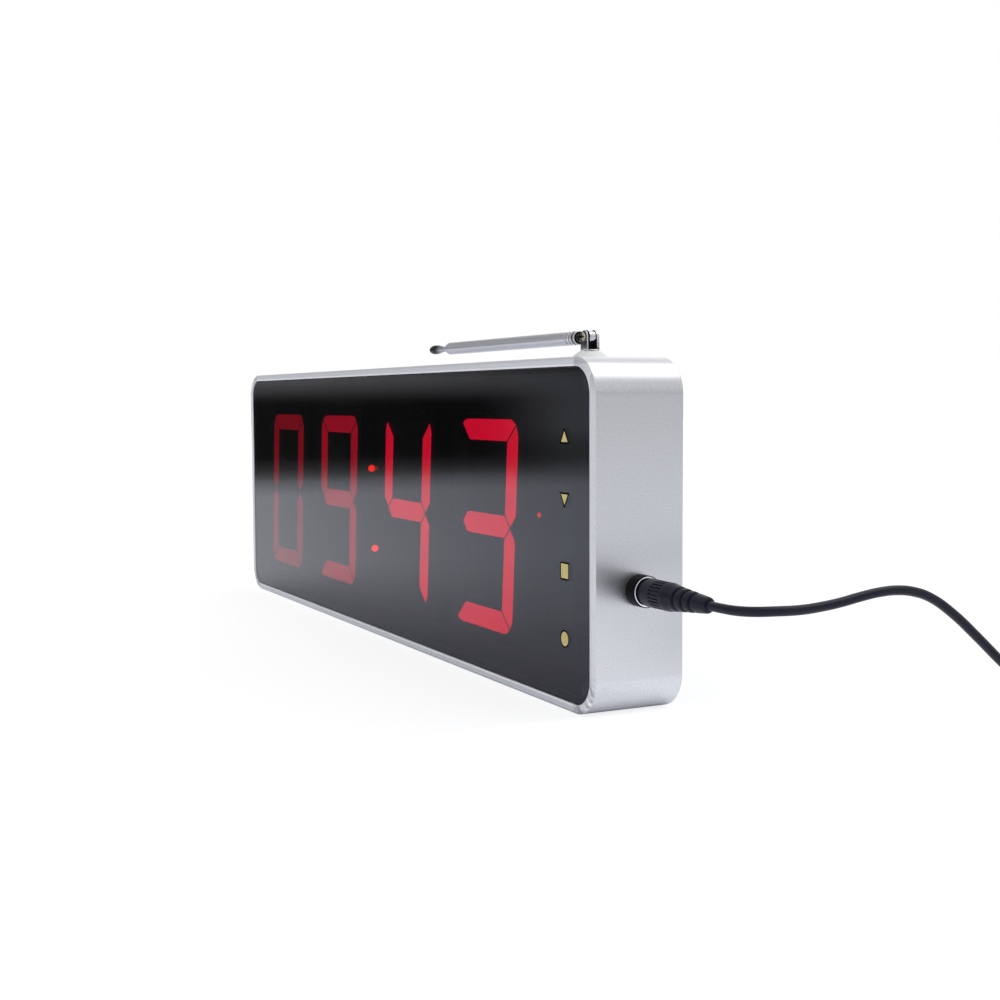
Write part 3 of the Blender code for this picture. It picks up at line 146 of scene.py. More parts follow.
def grain(tree, shader, size, tones, gloss, relief=0.0, stretch=(1, 1, 1)):
    """Fine grain of a real size in metres: colour between two tones, roughness between two values, and relief
    in metres."""
    place = add(tree, "ShaderNodeTexCoord").outputs["Object"]
    laid = add(tree, "ShaderNodeMapping", {"Vector": place, "Scale": stretch})
    noise = add(tree, "ShaderNodeTexNoise", {"Vector": laid, "Scale": 1 / size, "Detail": 3.0})
    ends = (0.3, 0.7)
    tone = add(tree, "ShaderNodeValToRGB", {"Fac": noise})
    for stop, end, code in zip(tone.color_ramp.elements, ends, tones):
        stop.position = end
        stop.color = colour(code)
    levels = dict(zip(("From Min", "From Max", "To Min", "To Max"), (*ends, *gloss)))
    rough = add(tree, "ShaderNodeMapRange", {"Value": noise, **levels})
    feed(shader, {"Base Color": tone, "Roughness": rough})
    if relief:
        bump = add(tree, "ShaderNodeBump", {"Height": noise, "Distance": relief, "Strength": 1.0})
        feed(shader, {"Normal": bump})


# Meshes


def linked(name, data):
    """A new object in the scene."""
    made = bpy.data.objects.new(name, data)
    bpy.context.scene.collection.objects.link(made)
    return made


def evaluated(holder):
    """The plain mesh that an object's modifiers give. The object goes."""
    graph = bpy.context.evaluated_depsgraph_get()
    made = bpy.data.meshes.new_from_object(holder.evaluated_get(graph), depsgraph=graph)
    bpy.data.objects.remove(holder)
    return made


def shaded(mesh, angle=32):
    """This mesh shaded smooth up to an angle, with its flats kept flat."""
    mesh.shade_smooth()
    mesh.set_sharp_from_angle(angle=math.radians(angle))
    holder = linked("holder", mesh)
    holder.modifiers.new("flats", "WEIGHTED_NORMAL").keep_sharp = True
    return evaluated(holder)


def mesh_of(bm):
    """The mesh of a bmesh."""
    mesh = bpy.data.meshes.new("mesh")
    bm.to_mesh(mesh)
    bm.free()
    return mesh


def finished(bm):
    """The mesh of a bmesh, with its faces turned outwards."""
    bmesh.ops.recalc_face_normals(bm, faces=bm.faces)
    return mesh_of(bm)


def smooth_copy(node):
    """A merged and smoothly shaded copy of a CAD node's mesh."""
    bm = bmesh.new()
    bm.from_mesh(frame["nodes"][node].data)
    bmesh.ops.remove_doubles(bm, verts=bm.verts, dist=1e-6)
    bmesh.ops.dissolve_limit(bm, angle_limit=math.radians(0.5), verts=bm.verts, edges=bm.edges)
    return shaded(mesh_of(bm))


def softened(points, radius, steps=3, closed=False):
    """An outline whose corners are rounded off, the first and last only where it is closed."""
    count = len(points)
    soft = []
    for k in range(count):
        if not closed and k in (0, count - 1):
            soft.append(tuple(points[k]))
            continue
        before, here, after = (Vector(points[(k + d) % count]) for d in (-1, 0, 1))
        start, end = (
            here + (other - here).normalized() * min(radius, (other - here).length * 0.45)
            for other in (before, after)
        )
        for n in range(steps + 1):
            t = n / steps
            soft.append(tuple(start.lerp(here, t).lerp(here.lerp(end, t), t)))
    return soft


def turned(profile, axis, centre=(0, 0, 0), sides=48):
    """A mesh turned about an axis from (along, radius) points. A profile that doesn't start on the axis is
    a closed ring."""
    bm = bmesh.new()
    rings = []
    for along, radius in profile:
        count = sides if radius > ON_AXIS else 1
        angles = [2 * math.pi * k / sides for k in range(count)]
        rings.append([bm.verts.new((along, radius * math.cos(a), radius * math.sin(a))) for a in angles])
    pairs = list(zip(rings, rings[1:]))
    if profile[0][1] > ON_AXIS:
        pairs.append((rings[-1], rings[0]))
    for low, high in pairs:
        for k in range(sides):
            corners = (low[k % len(low)], low[(k + 1) % len(low)])
            corners += (high[(k + 1) % len(high)], high[k % len(high)])
            bm.faces.new(dict.fromkeys(corners))
    bm.transform(Matrix.Translation(centre) @ TURN_ALONG[axis])
    return finished(bm)


def stacked(loops, closed=False):
    """A bmesh over loops of 3-D points: a ring of loops, or a stack of them with capped ends."""
    bm = bmesh.new()
    rows = [[bm.verts.new(point) for point in loop] for loop in loops]
    pairs = list(zip(rows, rows[1:]))
    if closed:
        pairs.append((rows[-1], rows[0]))
    else:
        bm.faces.new(rows[0])
        bm.faces.new(rows[-1])
    for low, high in pairs:
        for k in range(len(low)):
            n = (k + 1) % len(low)
            bm.faces.new((low[k], low[n], high[n], high[k]))
    bmesh.ops.recalc_face_normals(bm, faces=bm.faces)
    return bm


def rounded_off(bm, edges, size):
    """The mesh of a bmesh, with these edges rounded off."""
    if size:
        bmesh.ops.bevel(bm, geom=list(edges), offset=size, segments=2, affect="EDGES", profile=0.5)
    return finished(bm)


def plate(outline, front, back, edge=0.0):
    """A plate along Y from an (x, z) outline, with the edge of its front face rounded off."""
    bm = stacked([[(x, y, z) for x, z in outline] for y in (front, back)])
    bm.faces.ensure_lookup_table()
    return rounded_off(bm, bm.faces[0].edges, edge)


def block(low, high, edge=0.0):
    """A box between two corners, with its edges rounded off."""
    bm = bmesh.new()
    bmesh.ops.create_cube(bm, size=1)
    size = Vector(high) - Vector(low)
    bm.transform(Matrix.Translation((Vector(high) + Vector(low)) / 2) @ Matrix.Diagonal((*size, 1)))
    return rounded_off(bm, bm.edges, edge)


def joined(meshes):
    """One mesh that holds several."""
    bm = bmesh.new()
    for mesh in meshes:
        bm.from_mesh(mesh)
    return mesh_of(bm)


def cut(mesh, tools):
    """This mesh with the tools cut away."""
    target, helper = linked("target", mesh), linked("tools", joined(tools))
    modifier = target.modifiers.new("cut", "BOOLEAN")
    modifier.operation = "DIFFERENCE"
    modifier.solver = "EXACT"
    modifier.object = helper
    made = evaluated(target)
    bpy.data.objects.remove(helper)
    return made


def coated(mesh, finish, second, chosen):
    """Gives this mesh a finish, and a second one on the faces that are chosen."""
    mesh.materials.append(finish)
    mesh.materials.append(second)
    for face in mesh.polygons:
        face.material_index = int(chosen(face))


def marked(mesh, name, level):
    """Writes a level for each point of this mesh, which a finish reads by name."""
    marks = mesh.attributes.new(name, "FLOAT", "POINT")
    for mark, vertex in zip(marks.data, mesh.vertices):
        mark.value = level(vertex.co)


def crossed(x, z, face, length, width, depth):
    """A cross that cuts a screw's recess into a face that looks along Y."""
    half, thin = length / 2, width / 2
    quarter = [(half, -thin), (half, thin), (thin, thin)]
    outline = []
    for c, s in ((1, 0), (0, 1), (-1, 0), (0, -1)):
        outline += [(x + c * u - s * v, z + s * u + c * v) for u, v in quarter]
    return [plate(outline, face - depth, face + depth)]


def rounded_rectangle(half_u, half_v, radius, steps):
    """A rectangle about the origin with round corners, counterclockwise."""
    points = []
    for quarter, (su, sv) in enumerate(((1, 1), (-1, 1), (-1, -1), (1, -1))):
        for k in range(steps + 1):
            angle = QUARTER * (quarter + k / steps)
            u = su * (half_u - radius) + radius * math.cos(angle)
            v = sv * (half_v - radius) + radius * math.sin(angle)
            points.append((u, v))
    return points


def node_group(name, values):
    """A geometry node tree with an input for each (kind, value), and the sockets that give them."""
    tree = bpy.data.node_groups.new(name, "GeometryNodeTree")
    tree.interface.new_socket("Geometry", in_out="OUTPUT", socket_type="NodeSocketGeometry")
    for label, (kind, _) in values.items():
        tree.interface.new_socket(label, in_out="INPUT", socket_type="NodeSocket" + kind)
    return tree, tree.nodes.new("NodeGroupInput").outputs


def grown(tree, geometry, given, values):
    """The plain mesh that a tree makes from these values. Its instances become real and take the finish."""
    real = add(tree, "GeometryNodeRealizeInstances", {"Geometry": geometry})
    painted = add(tree, "GeometryNodeSetMaterial", {"Geometry": real, "Material": given["Finish"]})
    add(tree, "NodeGroupOutput", {"Geometry": painted})
    holder = linked("holder", bpy.data.meshes.new("holder"))
    modifier = holder.modifiers.new("tree", "NODES")
    modifier.node_group = tree
    for socket in tree.interface.items_tree:
        if socket.in_out == "INPUT":
            modifier[socket.identifier] = values[socket.name][1]
    return evaluated(holder)


def set_piece(name, mesh, finish, nodes=(), body=CLOCK):
    """An object for a finished mesh. It rides on a body and stands for CAD nodes."""
    if not mesh.materials:
        mesh.materials.append(finish)
    made = linked(name, mesh)
    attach(made, body)
    if nodes:
        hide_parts(*nodes)
    return made


def dress(finish, *nodes):
    """Gives CAD nodes that stay in view a finish."""
    for node in nodes:
        mesh = frame["nodes"][node].data
        mesh.materials.clear()
        mesh.materials.append(finish)


# Finishes

PLASTIC = {"IOR": 1.53}
METAL = {"Metallic": 1.0}

# Grain in mm, two tones, two roughnesses, relief in mm, the shader's own values, and a stretch of the grain
PLAIN = {
    # The acrylic of the segments, unlit: dull wine red that the smoked panel hides.
    "unlit red diffusing acrylic": (2, ("16090a", "1d0c0d"), (0.4, 0.5), 0, {}),
    # Moulded dark grey ABS with an eroded matt face: grain of about 0.3 mm swallows stray light.
    "eroded dark ABS": (0.3, ("101012", "18181a"), (0.6, 0.72), 0.01, PLASTIC),
    # Moulded black ABS with a spark-eroded texture: grain of about 0.4 mm, drawn at 0.8 mm so that it shows.
    "spark-eroded black ABS": (0.8, ("222326", "2c2d30"), (0.42, 0.6), 0.05, PLASTIC),
    # Moulded black ABS from a satin tool: soft highlights, flow marks about a millimetre long.
    "satin black ABS": (
        1.2, ("050507", "0a0a0d"), (0.4, 0.5), 0.004, {**PLASTIC, "Specular_IOR_Level": 0.05},
    ),
    # Moulded white ABS: soft gloss, light that sinks in a little, and flow marks a few millimetres long.
    "moulded white ABS": (
        2.5, ("e6e8e6", "f0f1ee"), (0.28, 0.36), 0, {
            **PLASTIC,
            "Subsurface_Weight": 0.15,
            "Subsurface_Radius": (0.6 * MM, 0.5 * MM, 0.45 * MM),
            "Subsurface_Scale": 1.0,
        },
    ),
    # Chrome on drawn brass tube: satin silver with faint lines along the draw, about 0.2 mm apart.
    "bright chrome on drawn brass": (0.2, ("e9ebf2", "f3f4fa"), (0.34, 0.4), 0, METAL, (0.02, 1, 1)),
    # Chrome on a small turned and milled fitting: a mirror with slight unevenness near 1 mm.
    "bright chrome on turned brass": (1.0, ("e2e4ec", "eceef4"), (0.06, 0.12), 0.004, METAL),
    # Nickel-plated brass, worn to yellow where the driver turns it.
    "worn nickel on brass": (0.7, ("b3a678", "c8c6c2"), (0.12, 0.25), 0.004, METAL),
    # Painted shade for narrow recesses, gaps and edges: dull black with a grain of about 0.3 mm.
    "painted recess shade": (0.3, ("060607", "0d0d0f"), (0.7, 0.85), 0, {"Specular_IOR_Level": 0.1}),
    # Zinc-plated and passivated steel: cool grey with a faint spangle of about 1.5 mm.
    "zinc plated steel": (1.5, ("a9adb3", "bfc3c8"), (0.25, 0.4), 0.004, METAL),
    # Thin gold over brushed nickel: pale warm metal, brushed upwards in lines of about 0.15 mm, drawn at
    # 0.4 mm so that they show.
    "brushed gold plate": (0.4, ("cdbd74", "e2d592"), (0.5, 0.6), 0, {"Metallic": 0.15}, (1, 1, 0.06)),
    # Glass-epoxy board under green solder mask: the weave, 0.5 mm apart, shows through a glossy coat.
    "solder masked glass epoxy": (0.5, ("0d3a1c", "14502a"), (0.25, 0.35), 0.01, {"IOR": 1.55}),
    # Transfer-moulded black epoxy: matt, with specks of filler near 0.2 mm.
    "moulded black epoxy": (0.2, ("161617", "202022"), (0.5, 0.62), 0.006, {}),
    # Closed-cell black foam: cells of about 0.4 mm on its cut edges.
    "black closed-cell foam": (0.4, ("0e0e0e", "1b1b1b"), (0.85, 0.95), 0.05, {}),
    # Extruded and moulded soft PVC: bluish black with a dull sheen, and a grain of about 0.25 mm, drawn at
    # 0.6 mm so that it shows.
    "soft black PVC": (
        0.6, ("0e101e", "181b2c"), (0.3, 0.42), 0.012, {**PLASTIC, "Specular_IOR_Level": 0.22},
    ),
    # Moulded white nylon: matt and slightly yellow.
    "moulded white nylon": (1.0, ("d8d8d0", "e2e2db"), (0.42, 0.55), 0, PLASTIC),
    # Black chrome on the turned tip: dark and glossy, clearing to bright chrome on the neck.
    "black chrome on turned brass": (0.8, ("2c2c2e", "3a3a3c"), (0.2, 0.3), 0, METAL),
}


def grained(name):
    """A new material of one of the plain finishes, with its tree and shader."""
    size, tones, gloss, relief, sockets, *stretch = PLAIN[name]
    made, tree, shader = new_finish(name, **sockets)
    grain(tree, shader, size * MM, tones, gloss, relief * MM, *stretch)
    return made, tree, shader


def plain(name):
    """A new material of one of the plain finishes."""
    return grained(name)[0]


def black_chrome():
    """Black chrome, dark only where the mesh is marked as bulb."""
    made, tree, shader = grained("black chrome on turned brass")
    dark = shader.inputs["Base Color"].links[0].from_socket
    bulb = add(tree, "ShaderNodeAttribute", attribute_name="bulb").outputs["Fac"]
    mixed = add(tree, "ShaderNodeMix", {0: bulb, 6: colour("d6d8de"), 7: dark}, data_type="RGBA")
    feed(shader, {"Base Color": mixed.outputs[2]})
    return made


def blasted_aluminium(settings):
    # Sand-blasted and clear-anodised aluminium: silky silver without direction. The grit leaves pits of about
    # 0.1 mm, drawn at 0.6 mm because finer ones don't show. The rim and the top are duller, and painted paler
    # as painted light. The rim's lower corners have slanted milling streaks, its upper corners are painted
    # darker as painted shade, and its inner chamfer is painted white as a painted highlight.
    made, tree, shader = new_finish("blasted anodised aluminium", Metallic=1.0)
    grain(tree, shader, 0.6 * MM, ("d2d3d7", "e1e2e6"), (0.3, 0.34))
    tone, satin = (shader.inputs[label].links[0].from_socket for label in ("Base Color", "Roughness"))
    place = add(tree, "ShaderNodeTexCoord").outputs["Object"]
    x, y, z = add(tree, "ShaderNodeSeparateXYZ", {"Vector": place}).outputs
    across = add(tree, "ShaderNodeMath", {0: x}, operation="ABSOLUTE")
    below = add(tree, "ShaderNodeMath", {0: settings.height, 1: z}, operation="SUBTRACT")
    front, height, radius = CASE_LOW.y, settings.height, settings.corner_radius
    half = settings.length / 2
    # Each mask's value, and where it starts and is full
    limits = {
        "beside": (across, half - radius - 2 * MM, half - radius + 2 * MM),
        "low": (below, height - radius - 2 * MM, height - radius + 2 * MM),
        "rim": (y, front + 1.1 * MM, front + 0.9 * MM),
        "flat": (y, front + 0.06 * MM, front + 0.03 * MM),
        "top": (z, height - 3 * MM, height - 0.2 * MM),
        "above": (below, height - 2.6 * MM, height - 2.8 * MM),
        "under": (below, 2.6 * MM, 2.8 * MM),
        "between": (across, half - 2.6 * MM, half - 2.8 * MM),
        "outer": (across, half - radius - 0.1 * MM, half - radius + 0.1 * MM),
        "raised": (below, radius, 0.3 * radius),
    }
    mask = {
        name: add(tree, "ShaderNodeMapRange", {"Value": value, "From Min": start, "From Max": full})
        for name, (value, start, full) in limits.items()
    }
    products = {
        "lip": ("above", "under", "between", "rim"),
        "lower corner": ("beside", "low", "rim"),
        "upper corner": ("outer", "raised", "rim"),
    }
    for name, (first, *others) in products.items():
        mask[name] = mask[first]
        for other in others:
            mask[name] = add(tree, "ShaderNodeMath", {0: mask[name], 1: mask[other]}, operation="MULTIPLY")
    # The matt mask dulls the rim and the top. The pale mask paints the flat rim face and the top paler, as
    # painted light.
    for name, first in (("matt", "rim"), ("pale", "flat")):
        mask[name] = add(tree, "ShaderNodeMath", {0: mask[first], 1: mask["top"]}, operation="MAXIMUM")
    slanted = add(
        tree,
        "ShaderNodeMapping",
        {"Vector": place, "Rotation": (0, math.radians(61), 0), "Scale": (10, 5, 1)},
        vector_type="TEXTURE",
    )
    streaks = add(tree, "ShaderNodeTexNoise", {"Vector": slanted, "Scale": 1 / (1.4 * MM), "Detail": 1.0})
    levels = {"From Min": 0.4, "From Max": 0.6, "To Max": 0.6}
    depth = add(tree, "ShaderNodeMapRange", {"Value": streaks, **levels})
    milled = add(tree, "ShaderNodeMath", {0: depth, 1: mask["lower corner"]}, operation="MULTIPLY")
    # The dark mask paints the rim's upper corners darker as painted shade, and adds the milling streaks on its
    # lower corners.
    darker = {0: mask["upper corner"], 1: 0.4, 2: milled}
    mask["dark"] = add(tree, "ShaderNodeMath", darker, operation="MULTIPLY_ADD")
    dull = add(tree, "ShaderNodeMix", {0: mask["flat"], 2: satin, 3: 0.5})
    metal = add(tree, "ShaderNodeMix", {0: mask["matt"], 2: 1.0, 3: 0.35})
    # The lip mask makes the inner chamfer white and not metallic: a painted highlight line.
    metal = add(tree, "ShaderNodeMix", {0: mask["lip"], 2: metal, 3: 0.0})
    for name, code in (("pale", "e9ebf1"), ("lip", "fbfcff"), ("dark", "7a7c84")):
        mixed = add(tree, "ShaderNodeMix", {0: mask[name], 6: tone, 7: colour(code)}, data_type="RGBA")
        tone = mixed.outputs[2]
    feed(shader, {"Roughness": dull, "Metallic": metal, "Base Color": tone})
    return made


def smoked_acrylic(settings):
    # Cast acrylic dyed smoky grey and polished: a dark mirror that lets strong light through. Wiping leaves
    # faint hazy patches some centimetres wide.
    made, tree, shader = new_finish(
        "polished smoked acrylic",
        Base_Color=(*settings.smoke_colour, 1.0),
        IOR=1.49,
        Transmission_Weight=1.0,
        Specular_Tint=colour("d8e0ff"),
    )
    place = add(tree, "ShaderNodeTexCoord").outputs["Object"]
    haze = add(tree, "ShaderNodeTexNoise", {"Vector": place, "Scale": 1 / (35 * MM), "Detail": 4.0})
    levels = {"From Min": 0.35, "From Max": 0.7, "To Min": 0.035, "To Max": 0.07}
    feed(shader, {"Roughness": add(tree, "ShaderNodeMapRange", {"Value": haze, **levels})})
    return made


def lit_guide(settings, level):
    # Red diffusing acrylic with lamps close behind it: an even glow, slightly stronger over each lamp. The
    # lamps stand about 9 mm apart.
    made, tree, shader = new_finish(
        "lit red diffusing acrylic",
        Base_Color=colour("3a0508"),
        Roughness=0.45,
        Emission_Strength=settings.glow * level,
    )
    place = add(tree, "ShaderNodeTexCoord").outputs["Object"]
    spots = add(tree, "ShaderNodeTexNoise", {"Vector": place, "Scale": 1 / (9 * MM), "Detail": 0.0})
    tone = add(tree, "ShaderNodeValToRGB", {"Fac": spots})
    low, high = tone.color_ramp.elements
    low.position, high.position = 0.3, 0.7
    low.color = (*[0.9 * part for part in settings.lit_colour], 1.0)
    high.color = (*settings.lit_colour, 1.0)
    feed(shader, {"Emission Color": tone})
    return made


def lit_lamp(settings, level, reach):
    # Clear red epoxy round a lamp: hottest at the crown of its dome, and dark round its foot.
    made, tree, shader = new_finish(
        "lit red lamp epoxy",
        Base_Color=colour("240404"),
        Roughness=0.15,
        IOR=1.53,
        Emission_Strength=settings.glow * level,
    )
    crown = add(tree, "ShaderNodeAttribute", attribute_name="crown").outputs["Fac"]
    tone = add(tree, "ShaderNodeValToRGB", {"Fac": crown})
    low, high = tone.color_ramp.elements
    low.position, high.position = reach
    low.color, high.color = colour("000000"), colour("ff1c06")
    feed(shader, {"Emission Color": tone})
    return made


def woven_strap():
    # Woven black polyester strap: threads across both ways, 0.6 mm apart.
    made, tree, shader = new_finish("woven black polyester", Sheen_Weight=0.25, Roughness=0.8)
    place = add(tree, "ShaderNodeTexCoord").outputs["Object"]
    thread = {"Vector": place, "Scale": 1 / (0.6 * MM * math.tau), "Distortion": 0.3}
    warp, weft = (
        add(tree, "ShaderNodeTexWave", thread, bands_direction=direction).outputs["Fac"]
        for direction in ("X", "Y")
    )
    weave = add(tree, "ShaderNodeMath", {0: warp, 1: weft}, operation="MULTIPLY")
    tone = add(tree, "ShaderNodeValToRGB", {"Fac": weave})
    low, high = tone.color_ramp.elements
    low.color, high.color = colour("0c0c0d"), colour("242427")
    bump = add(tree, "ShaderNodeBump", {"Height": weave, "Distance": 0.08 * MM})
    feed(shader, {"Base Color": tone, "Normal": bump})
    return made


# Settings

SIZE = {"unit": "LENGTH"}
TINT = {"size": 3, "min": 0, "max": 1, "subtype": "COLOR"}


class CaseSettings(bpy.types.PropertyGroup):
    length: FloatProperty(
        name="Length", description="Length of the case", default=CASE_HIGH.x - CASE_LOW.x, **SIZE
    )
    height: FloatProperty(
        name="Height", description="Height of the case", default=CASE_HIGH.z - CASE_LOW.z, **SIZE
    )
    corner_radius: FloatProperty(
        name="Corner radius", description="Radius of the band's outer corners", default=14 * MM, **SIZE
    )
    corner_steps: IntProperty(
        name="Corner steps", description="Facets in each corner of the band", default=20, min=4
    )
    rim_width: FloatProperty(
        name="Rim width", description="Width of the band's front rim", default=3.4 * MM, **SIZE
    )
    wall: FloatProperty(name="Wall", description="Thickness of the band", default=2.2 * MM, **SIZE)
    smoke_colour: FloatVectorProperty(
        name="Smoke colour",
        description="Colour of the light that the front panel lets through",
        default=colour("75757a")[:3],
        **TINT,
    )


class DisplaySettings(bpy.types.PropertyGroup):
    shown: StringProperty(name="Shown time", description="Four digits, from the left", default="0943")
    width: FloatProperty(
        name="Digit width", description="Width of a digit before its slant", default=53.8 * MM, **SIZE
    )
    height: FloatProperty(name="Digit height", description="Height of a digit", default=86.2 * MM, **SIZE)
    slant: FloatProperty(
        name="Slant", description="Shift to the right for each metre of height", default=0.079
    )
    lit_colour: FloatVectorProperty(
        name="Lit colour", description="Colour of the lit segments", default=colour("ff0836")[:3], **TINT
    )
    glow: FloatProperty(
        name="Glow", description="Strength of the lit segments behind the smoked panel", default=3.6, min=0
    )


class AerialSettings(bpy.types.PropertyGroup):
    groove: FloatProperty(
        name="Groove depth",
        description="Depth of the rolled grooves beside the knuckle",
        default=0.36 * MM,
        **SIZE,
    )


class LeadSettings(bpy.types.PropertyGroup):
    diameter: FloatProperty(
        name="Cord diameter", description="Diameter of the power cord", default=3.4 * MM, **SIZE
    )
    length: FloatProperty(
        name="Cord length", description="Real length of the power cord", default=1.2, **SIZE
    )
    grip_slots: IntProperty(
        name="Grip slots", description="Slots round the plug's grip", default=24, min=3
    )


class StageSettings(bpy.types.PropertyGroup):
    floor_colour: FloatVectorProperty(
        name="Floor colour", description="Colour of the plain floor", default=colour("eff1f8")[:3], **TINT
    )
    fill: FloatProperty(
        name="Fill light", description="Strength of the light from all round", default=0.7, min=0
    )
    overhead: FloatProperty(
        name="Overhead light", description="Power of the soft light above, in watts", default=2.7, min=0
    )


# Pieces


class LEDCLOCK_OT_stage(bpy.types.Operator):
    """Makes the camera, the pale floor and the soft light"""

    bl_idname = "ledclock.stage"
    bl_label = "Stage"

    def execute(self, context):
        settings = context.scene.clock_stage
        context.scene.view_settings.view_transform = "Standard"
        self.place_camera(context)
        self.lay_floor(settings)
        self.set_cards()
        self.light(context, settings)
        return {"FINISHED"}

    def place_camera(self, context):
        lens = bpy.data.cameras.new("camera")
        lens.sensor_width = 36.0
        lens.lens = 50.944
        lens.clip_start = 0.01
        right = Vector((0.44392, 0.89605, -0.00505))
        up = Vector((-0.06102, 0.03585, 0.99749))
        back = Vector((0.89399, -0.44250, 0.07059))
        turn = Matrix((right, up, back)).transposed().to_4x4()
        camera = linked("camera", lens)
        camera.matrix_world = Matrix.Translation((0.64114, -0.26913, 0.11457)) @ turn
        context.scene.camera = camera

    def lay_floor(self, settings):
        """A white floor that keeps the clock's soft shadow. Light of its own lifts it beside the clock."""
        finish, tree, shader = new_finish(
            "white painted floor", Roughness=0.9, Specular_IOR_Level=0.0, Emission_Color=(1, 1, 1, 1)
        )
        place = add(tree, "ShaderNodeTexCoord").outputs["Object"]
        x = add(tree, "ShaderNodeSeparateXYZ", {"Vector": place}).outputs["X"]
        away = add(tree, "ShaderNodeVectorMath", {0: place}, operation="LENGTH").outputs["Value"]
        # Each ramp's value, where it starts and ends, and its levels there
        limits = {
            "far": (x, 0.05, -0.3, 0.0, 0.2),
            "beside": (x, 0.24, 0.55, 0.32, 0.15),
            "right": (x, 0.199, 0.209, 0.0, 1.0),
            "fade": (x, -1.35, -1.0, 0.45, 1.0),
            "clear": (away, 0.5, 1.1, 0.7, 1.0),
        }
        labels = ("Value", "From Min", "From Max", "To Min", "To Max")
        ramp = {
            name: add(tree, "ShaderNodeMapRange", dict(zip(labels, given)))
            for name, given in limits.items()
        }
        lift = add(tree, "ShaderNodeMath", {0: ramp["beside"], 1: ramp["right"]}, operation="MULTIPLY")
        lift = add(tree, "ShaderNodeMath", {0: ramp["far"], 1: lift}, operation="MAXIMUM")
        lift = add(tree, "ShaderNodeMath", {0: lift, 1: ramp["fade"]}, operation="MULTIPLY")
        # The floor's colour fades darker beyond x = -1 m, as painted shade that shows mostly in reflections.
        tint = {0: tuple(settings.floor_colour), "Scale": ramp["fade"]}
        tone = add(tree, "ShaderNodeVectorMath", tint, operation="SCALE")
        feed(shader, {"Emission Strength": lift, "Base Color": tone})
        seen = add(tree, "ShaderNodeLightPath").outputs["Is Camera Ray"]
        share = add(tree, "ShaderNodeMath", {0: seen, 1: ramp["clear"]}, operation="MULTIPLY")
        glow = add(tree, "ShaderNodeEmission", {"Color": (1, 1, 1, 1), "Strength": 1.16})
        mixed = add(tree, "ShaderNodeMixShader", {0: share, 1: shader, 2: glow})
        feed(tree.nodes["Material Output"], {"Surface": mixed})
        floor = self.sheet("floor", [(-6, -6, 0), (6, -6, 0), (6, 6, 0), (-6, 6, 0)], finish)
        floor.location.z = -0.2 * MM

    def set_cards(self):
        """Cards that only reflections show. They give the polished parts something to mirror."""
        high = [(0.175, 0.03), (0.3, 0.03), (0.33, 0.5), (0.45, 0.42), (0.6, 0.3), (0.8, 0.22), (1.3, 0.22)]
        dark = [(0, 0.3), (0.012, 0.1), (0.03, 0.02), (0.115, 0.02), (0.15, 0.38), *high]
        grey = [(0, 0.4), (0.02, 0.18), (0.04, 0.2), (0.07, 0.36), (0.15, 0.36), *high]
        rear = [(0, 0.28), (0.42, 0.28), (0.55, 1.15), (1.3, 1.35)]
        band = [(0.15, 0.03), (0.24, 0.03)]
        wall = -1.35
        self.set_card("front_card", (wall, -5.0), (wall, 0.1), grey, dark)
        self.set_card("middle_card", (wall, 0.1), (wall, 0.5), [(0, 0.28), (1.3, 0.28)])
        self.set_card("rear_card", (wall, 0.5), (wall, 2.6), rear)
        self.set_card("side_card", (1.5, -0.14), (0.88, 1.12), band)
        self.set_card("near_card", (1.16, -0.95), (1.6, -0.06), band)

    def set_card(self, name, start, end, stops, later=None):
        """An upright card between two places on the floor, with grey levels at heights.

        Levels named as later take over where the card comes in front of the display.
        """
        foot, top = stops[0][0], stops[-1][0]
        finish = bpy.data.materials.new(name)
        finish.use_nodes = True
        tree = finish.node_tree
        tree.nodes.clear()
        place = add(tree, "ShaderNodeTexCoord").outputs["Object"]
        _, y, z = add(tree, "ShaderNodeSeparateXYZ", {"Vector": place}).outputs
        height = add(tree, "ShaderNodeMapRange", {"Value": z, "From Min": foot, "From Max": top})
        tones = []
        for levels in (stops, later or stops):
            tone = add(tree, "ShaderNodeValToRGB", {"Fac": height})
            elements = tone.color_ramp.elements
            for level, _ in levels[1:-1]:
                elements.new((level - foot) / (top - foot))
            for stop, (_, grey) in zip(elements, levels):
                stop.color = (grey, grey, grey, 1)
            tones.append(tone)
        along = add(
            tree,
            "ShaderNodeMapRange",
            {"Value": y, "From Min": -0.92, "From Max": -0.72},
            interpolation_type="SMOOTHSTEP",
        )
        tone = add(tree, "ShaderNodeMix", {0: along, 6: tones[0], 7: tones[1]}, data_type="RGBA")
        shine = add(tree, "ShaderNodeEmission", {"Color": tone.outputs[2]})
        add(tree, "ShaderNodeOutputMaterial", {"Surface": shine})
        card = self.sheet(name, [(*start, foot), (*end, foot), (*end, top), (*start, top)], finish)
        card.visible_camera = False
        card.visible_diffuse = False
        card.visible_shadow = False

    def sheet(self, name, corners, finish):
        mesh = bpy.data.meshes.new(name)
        mesh.from_pydata(corners, [], [(0, 1, 2, 3)])
        mesh.materials.append(finish)
        made = linked(name, mesh)
        return made

    def light(self, context, settings):
        """Even light from all round, and one soft light above."""
        world = bpy.data.worlds.new("white room")
        world.use_nodes = True
        tree = world.node_tree
        seen = add(tree, "ShaderNodeLightPath").outputs["Is Camera Ray"]
        level = add(tree, "ShaderNodeMapRange", {"Value": seen, "To Min": settings.fill, "To Max": 1.0})
        feed(tree.nodes["Background"], {"Color": (1, 1, 1, 1), "Strength": level})
        context.scene.world = world
        lamp = bpy.data.lights.new("overhead", "AREA")
        lamp.shape = "RECTANGLE"
        lamp.size = lamp.size_y = 0.8
        lamp.energy = settings.overhead
        made = linked("overhead", lamp)
        place, target = Vector((0.29, 0.45, 1.0)), Vector((0.2, 0.0, 0.1))
        made.location = place
        made.rotation_euler = (target - place).to_track_quat("-Z", "Y").to_euler()


